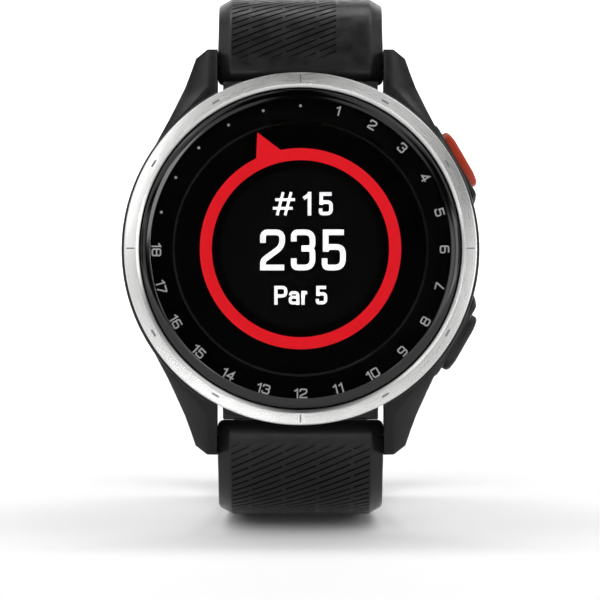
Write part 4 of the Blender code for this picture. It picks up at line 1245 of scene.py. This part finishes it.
def stage_look():
    """Pale and matt near the watch, and glowing further out, like a light tent."""
    look = Look("stage_look", (0.95, 0.95, 0.95), 0.75, 0.0, 0.1)
    look.vary_colour(look.noise(2.0, 2), (0.96, 0.96, 0.96))
    look.put("Emission Color", (1.0, 1.0, 1.0, 1.0))
    distance = look.node("ShaderNodeVectorMath", look.place, operation="LENGTH")
    near, far = (part * MM for part in TENT_RANGE)
    glow = look.ramp(distance.outputs["Value"], NEAR_GLOW, 1.0, near, far)
    look.join(glow, look.shader.inputs["Emission Strength"])
    return look.material


def make_stage():
    """A pale sweep under the watch, touching the band's underside, rising far behind."""
    tilt = radians(FLOOR_TILT)
    path = []
    for y in (STAGE_FRONT_Y, STAGE_BACK_Y):
        path.append((y, TOUCH_Z + (y - TOUCH_Y) * tan(tilt)))
    centre_y = STAGE_BACK_Y - STAGE_BEND_R * sin(tilt)
    centre = (centre_y, path[-1][1] + STAGE_BEND_R * cos(tilt))
    path += arc_points(centre, STAGE_BEND_R, FLOOR_TILT - 90, 0, 17)[1:]
    path.append((path[-1][0], path[-1][1] + STAGE_WALL))
    bm = bmesh.new()
    rows = [[bm.verts.new((x, y, z)) for x in (-STAGE_HALF_WIDTH, STAGE_HALF_WIDTH)] for y, z in path]
    for row, following in zip(rows, rows[1:]):
        bm.faces.new((row[0], row[1], following[1], following[0]))
    floor = finished(bm, "studio_floor")
    dress(floor, stage_look())


def softbox(name, place, size, power, aim=(0, -5, 0)):
    data = bpy.data.lights.new(name, "AREA")
    data.shape = "RECTANGLE"
    data.size = size[0] * MM
    data.size_y = size[1] * MM
    data.energy = power
    lamp = linked(name, data)
    lamp.location = Vector(place) * MM
    lamp.rotation_euler = (Vector(aim) - Vector(place)).to_track_quat("-Z", "Y").to_euler()


# Soft panels in front of the watch, in rings round the dial's axis: angle off the axis,
# size, and the strength of the panel at each clock angle.
FRONT_PANELS = (
    (13, 70, {150: 4, 180: 11, 210: 13, 240: 1, 270: 3}),
    (25, 130, {30: 1, 90: 2, 300: 5, 330: 1}),
    (50, 220, {30: 1, 90: 3, 270: 1, 315: 1}),
    (76, 330, {30: 1, 60: 1, 300: 1, 330: 1}),
)


def front_panel(name, clock, off_axis, size, strength):
    """A square panel in front of the watch, at a clock angle and off the dial's axis."""
    x, z = clock_point(PANEL_REACH * sin(radians(off_axis)), clock)
    y = -PANEL_REACH * cos(radians(off_axis))
    softbox(name, (x, y, z), (size, size), strength * pi * (size * MM) ** 2)


def make_lights():
    """One soft light behind and above, and the panels; the world itself is dark."""
    world = bpy.data.worlds.new("studio")
    bpy.context.scene.world = world
    world.use_nodes = True
    world.node_tree.nodes["Background"].inputs["Strength"].default_value = 0.0
    softbox("back_light", (0, 130, 520), (700, 200), 2.6, aim=(0, 420, 120))
    for off_axis, size, strengths in FRONT_PANELS:
        for clock, strength in strengths.items():
            front_panel(f"panel_{clock}_{off_axis}", clock, off_axis, size, strength)


def make_camera():
    pitch = radians(CAMERA_PITCH)
    way = Vector((0, cos(pitch), sin(pitch)))
    data = bpy.data.cameras.new("camera")
    data.sensor_width = SENSOR
    data.lens = SENSOR * CAMERA_DISTANCE / VIEW_WIDTH
    data.clip_start = 0.01
    data.clip_end = 20.0
    camera = linked("camera", data)
    camera.location = (Vector(AIM) - way * CAMERA_DISTANCE) * MM
    camera.rotation_euler = way.to_track_quat("-Z", "Y").to_euler()
    bpy.context.scene.camera = camera


# ---- build


def main():
    bpy.context.scene.view_settings.view_transform = "Standard"
    make_camera()
    make_stage()
    make_lights()
    make_case()
    make_bezel()
    make_glass()
    make_number_ring()
    make_display_figures()
    for label in BUTTON_ANGLES:
        make_button(label)
    silicone = silicone_look()
    upper = make_upper_band(silicone)
    make_lower_band(silicone)
    make_buckle(upper)
    make_keeper("fixed_keeper", upper, FIXED_KEEPER_FROM_END, "upper_band", silicone)
    make_keeper("sliding_keeper", upper, SLIDING_KEEPER_FROM_END, "sliding_keeper", silicone)
    make_rear_cover(case_look())
    dress_nodes()


main()
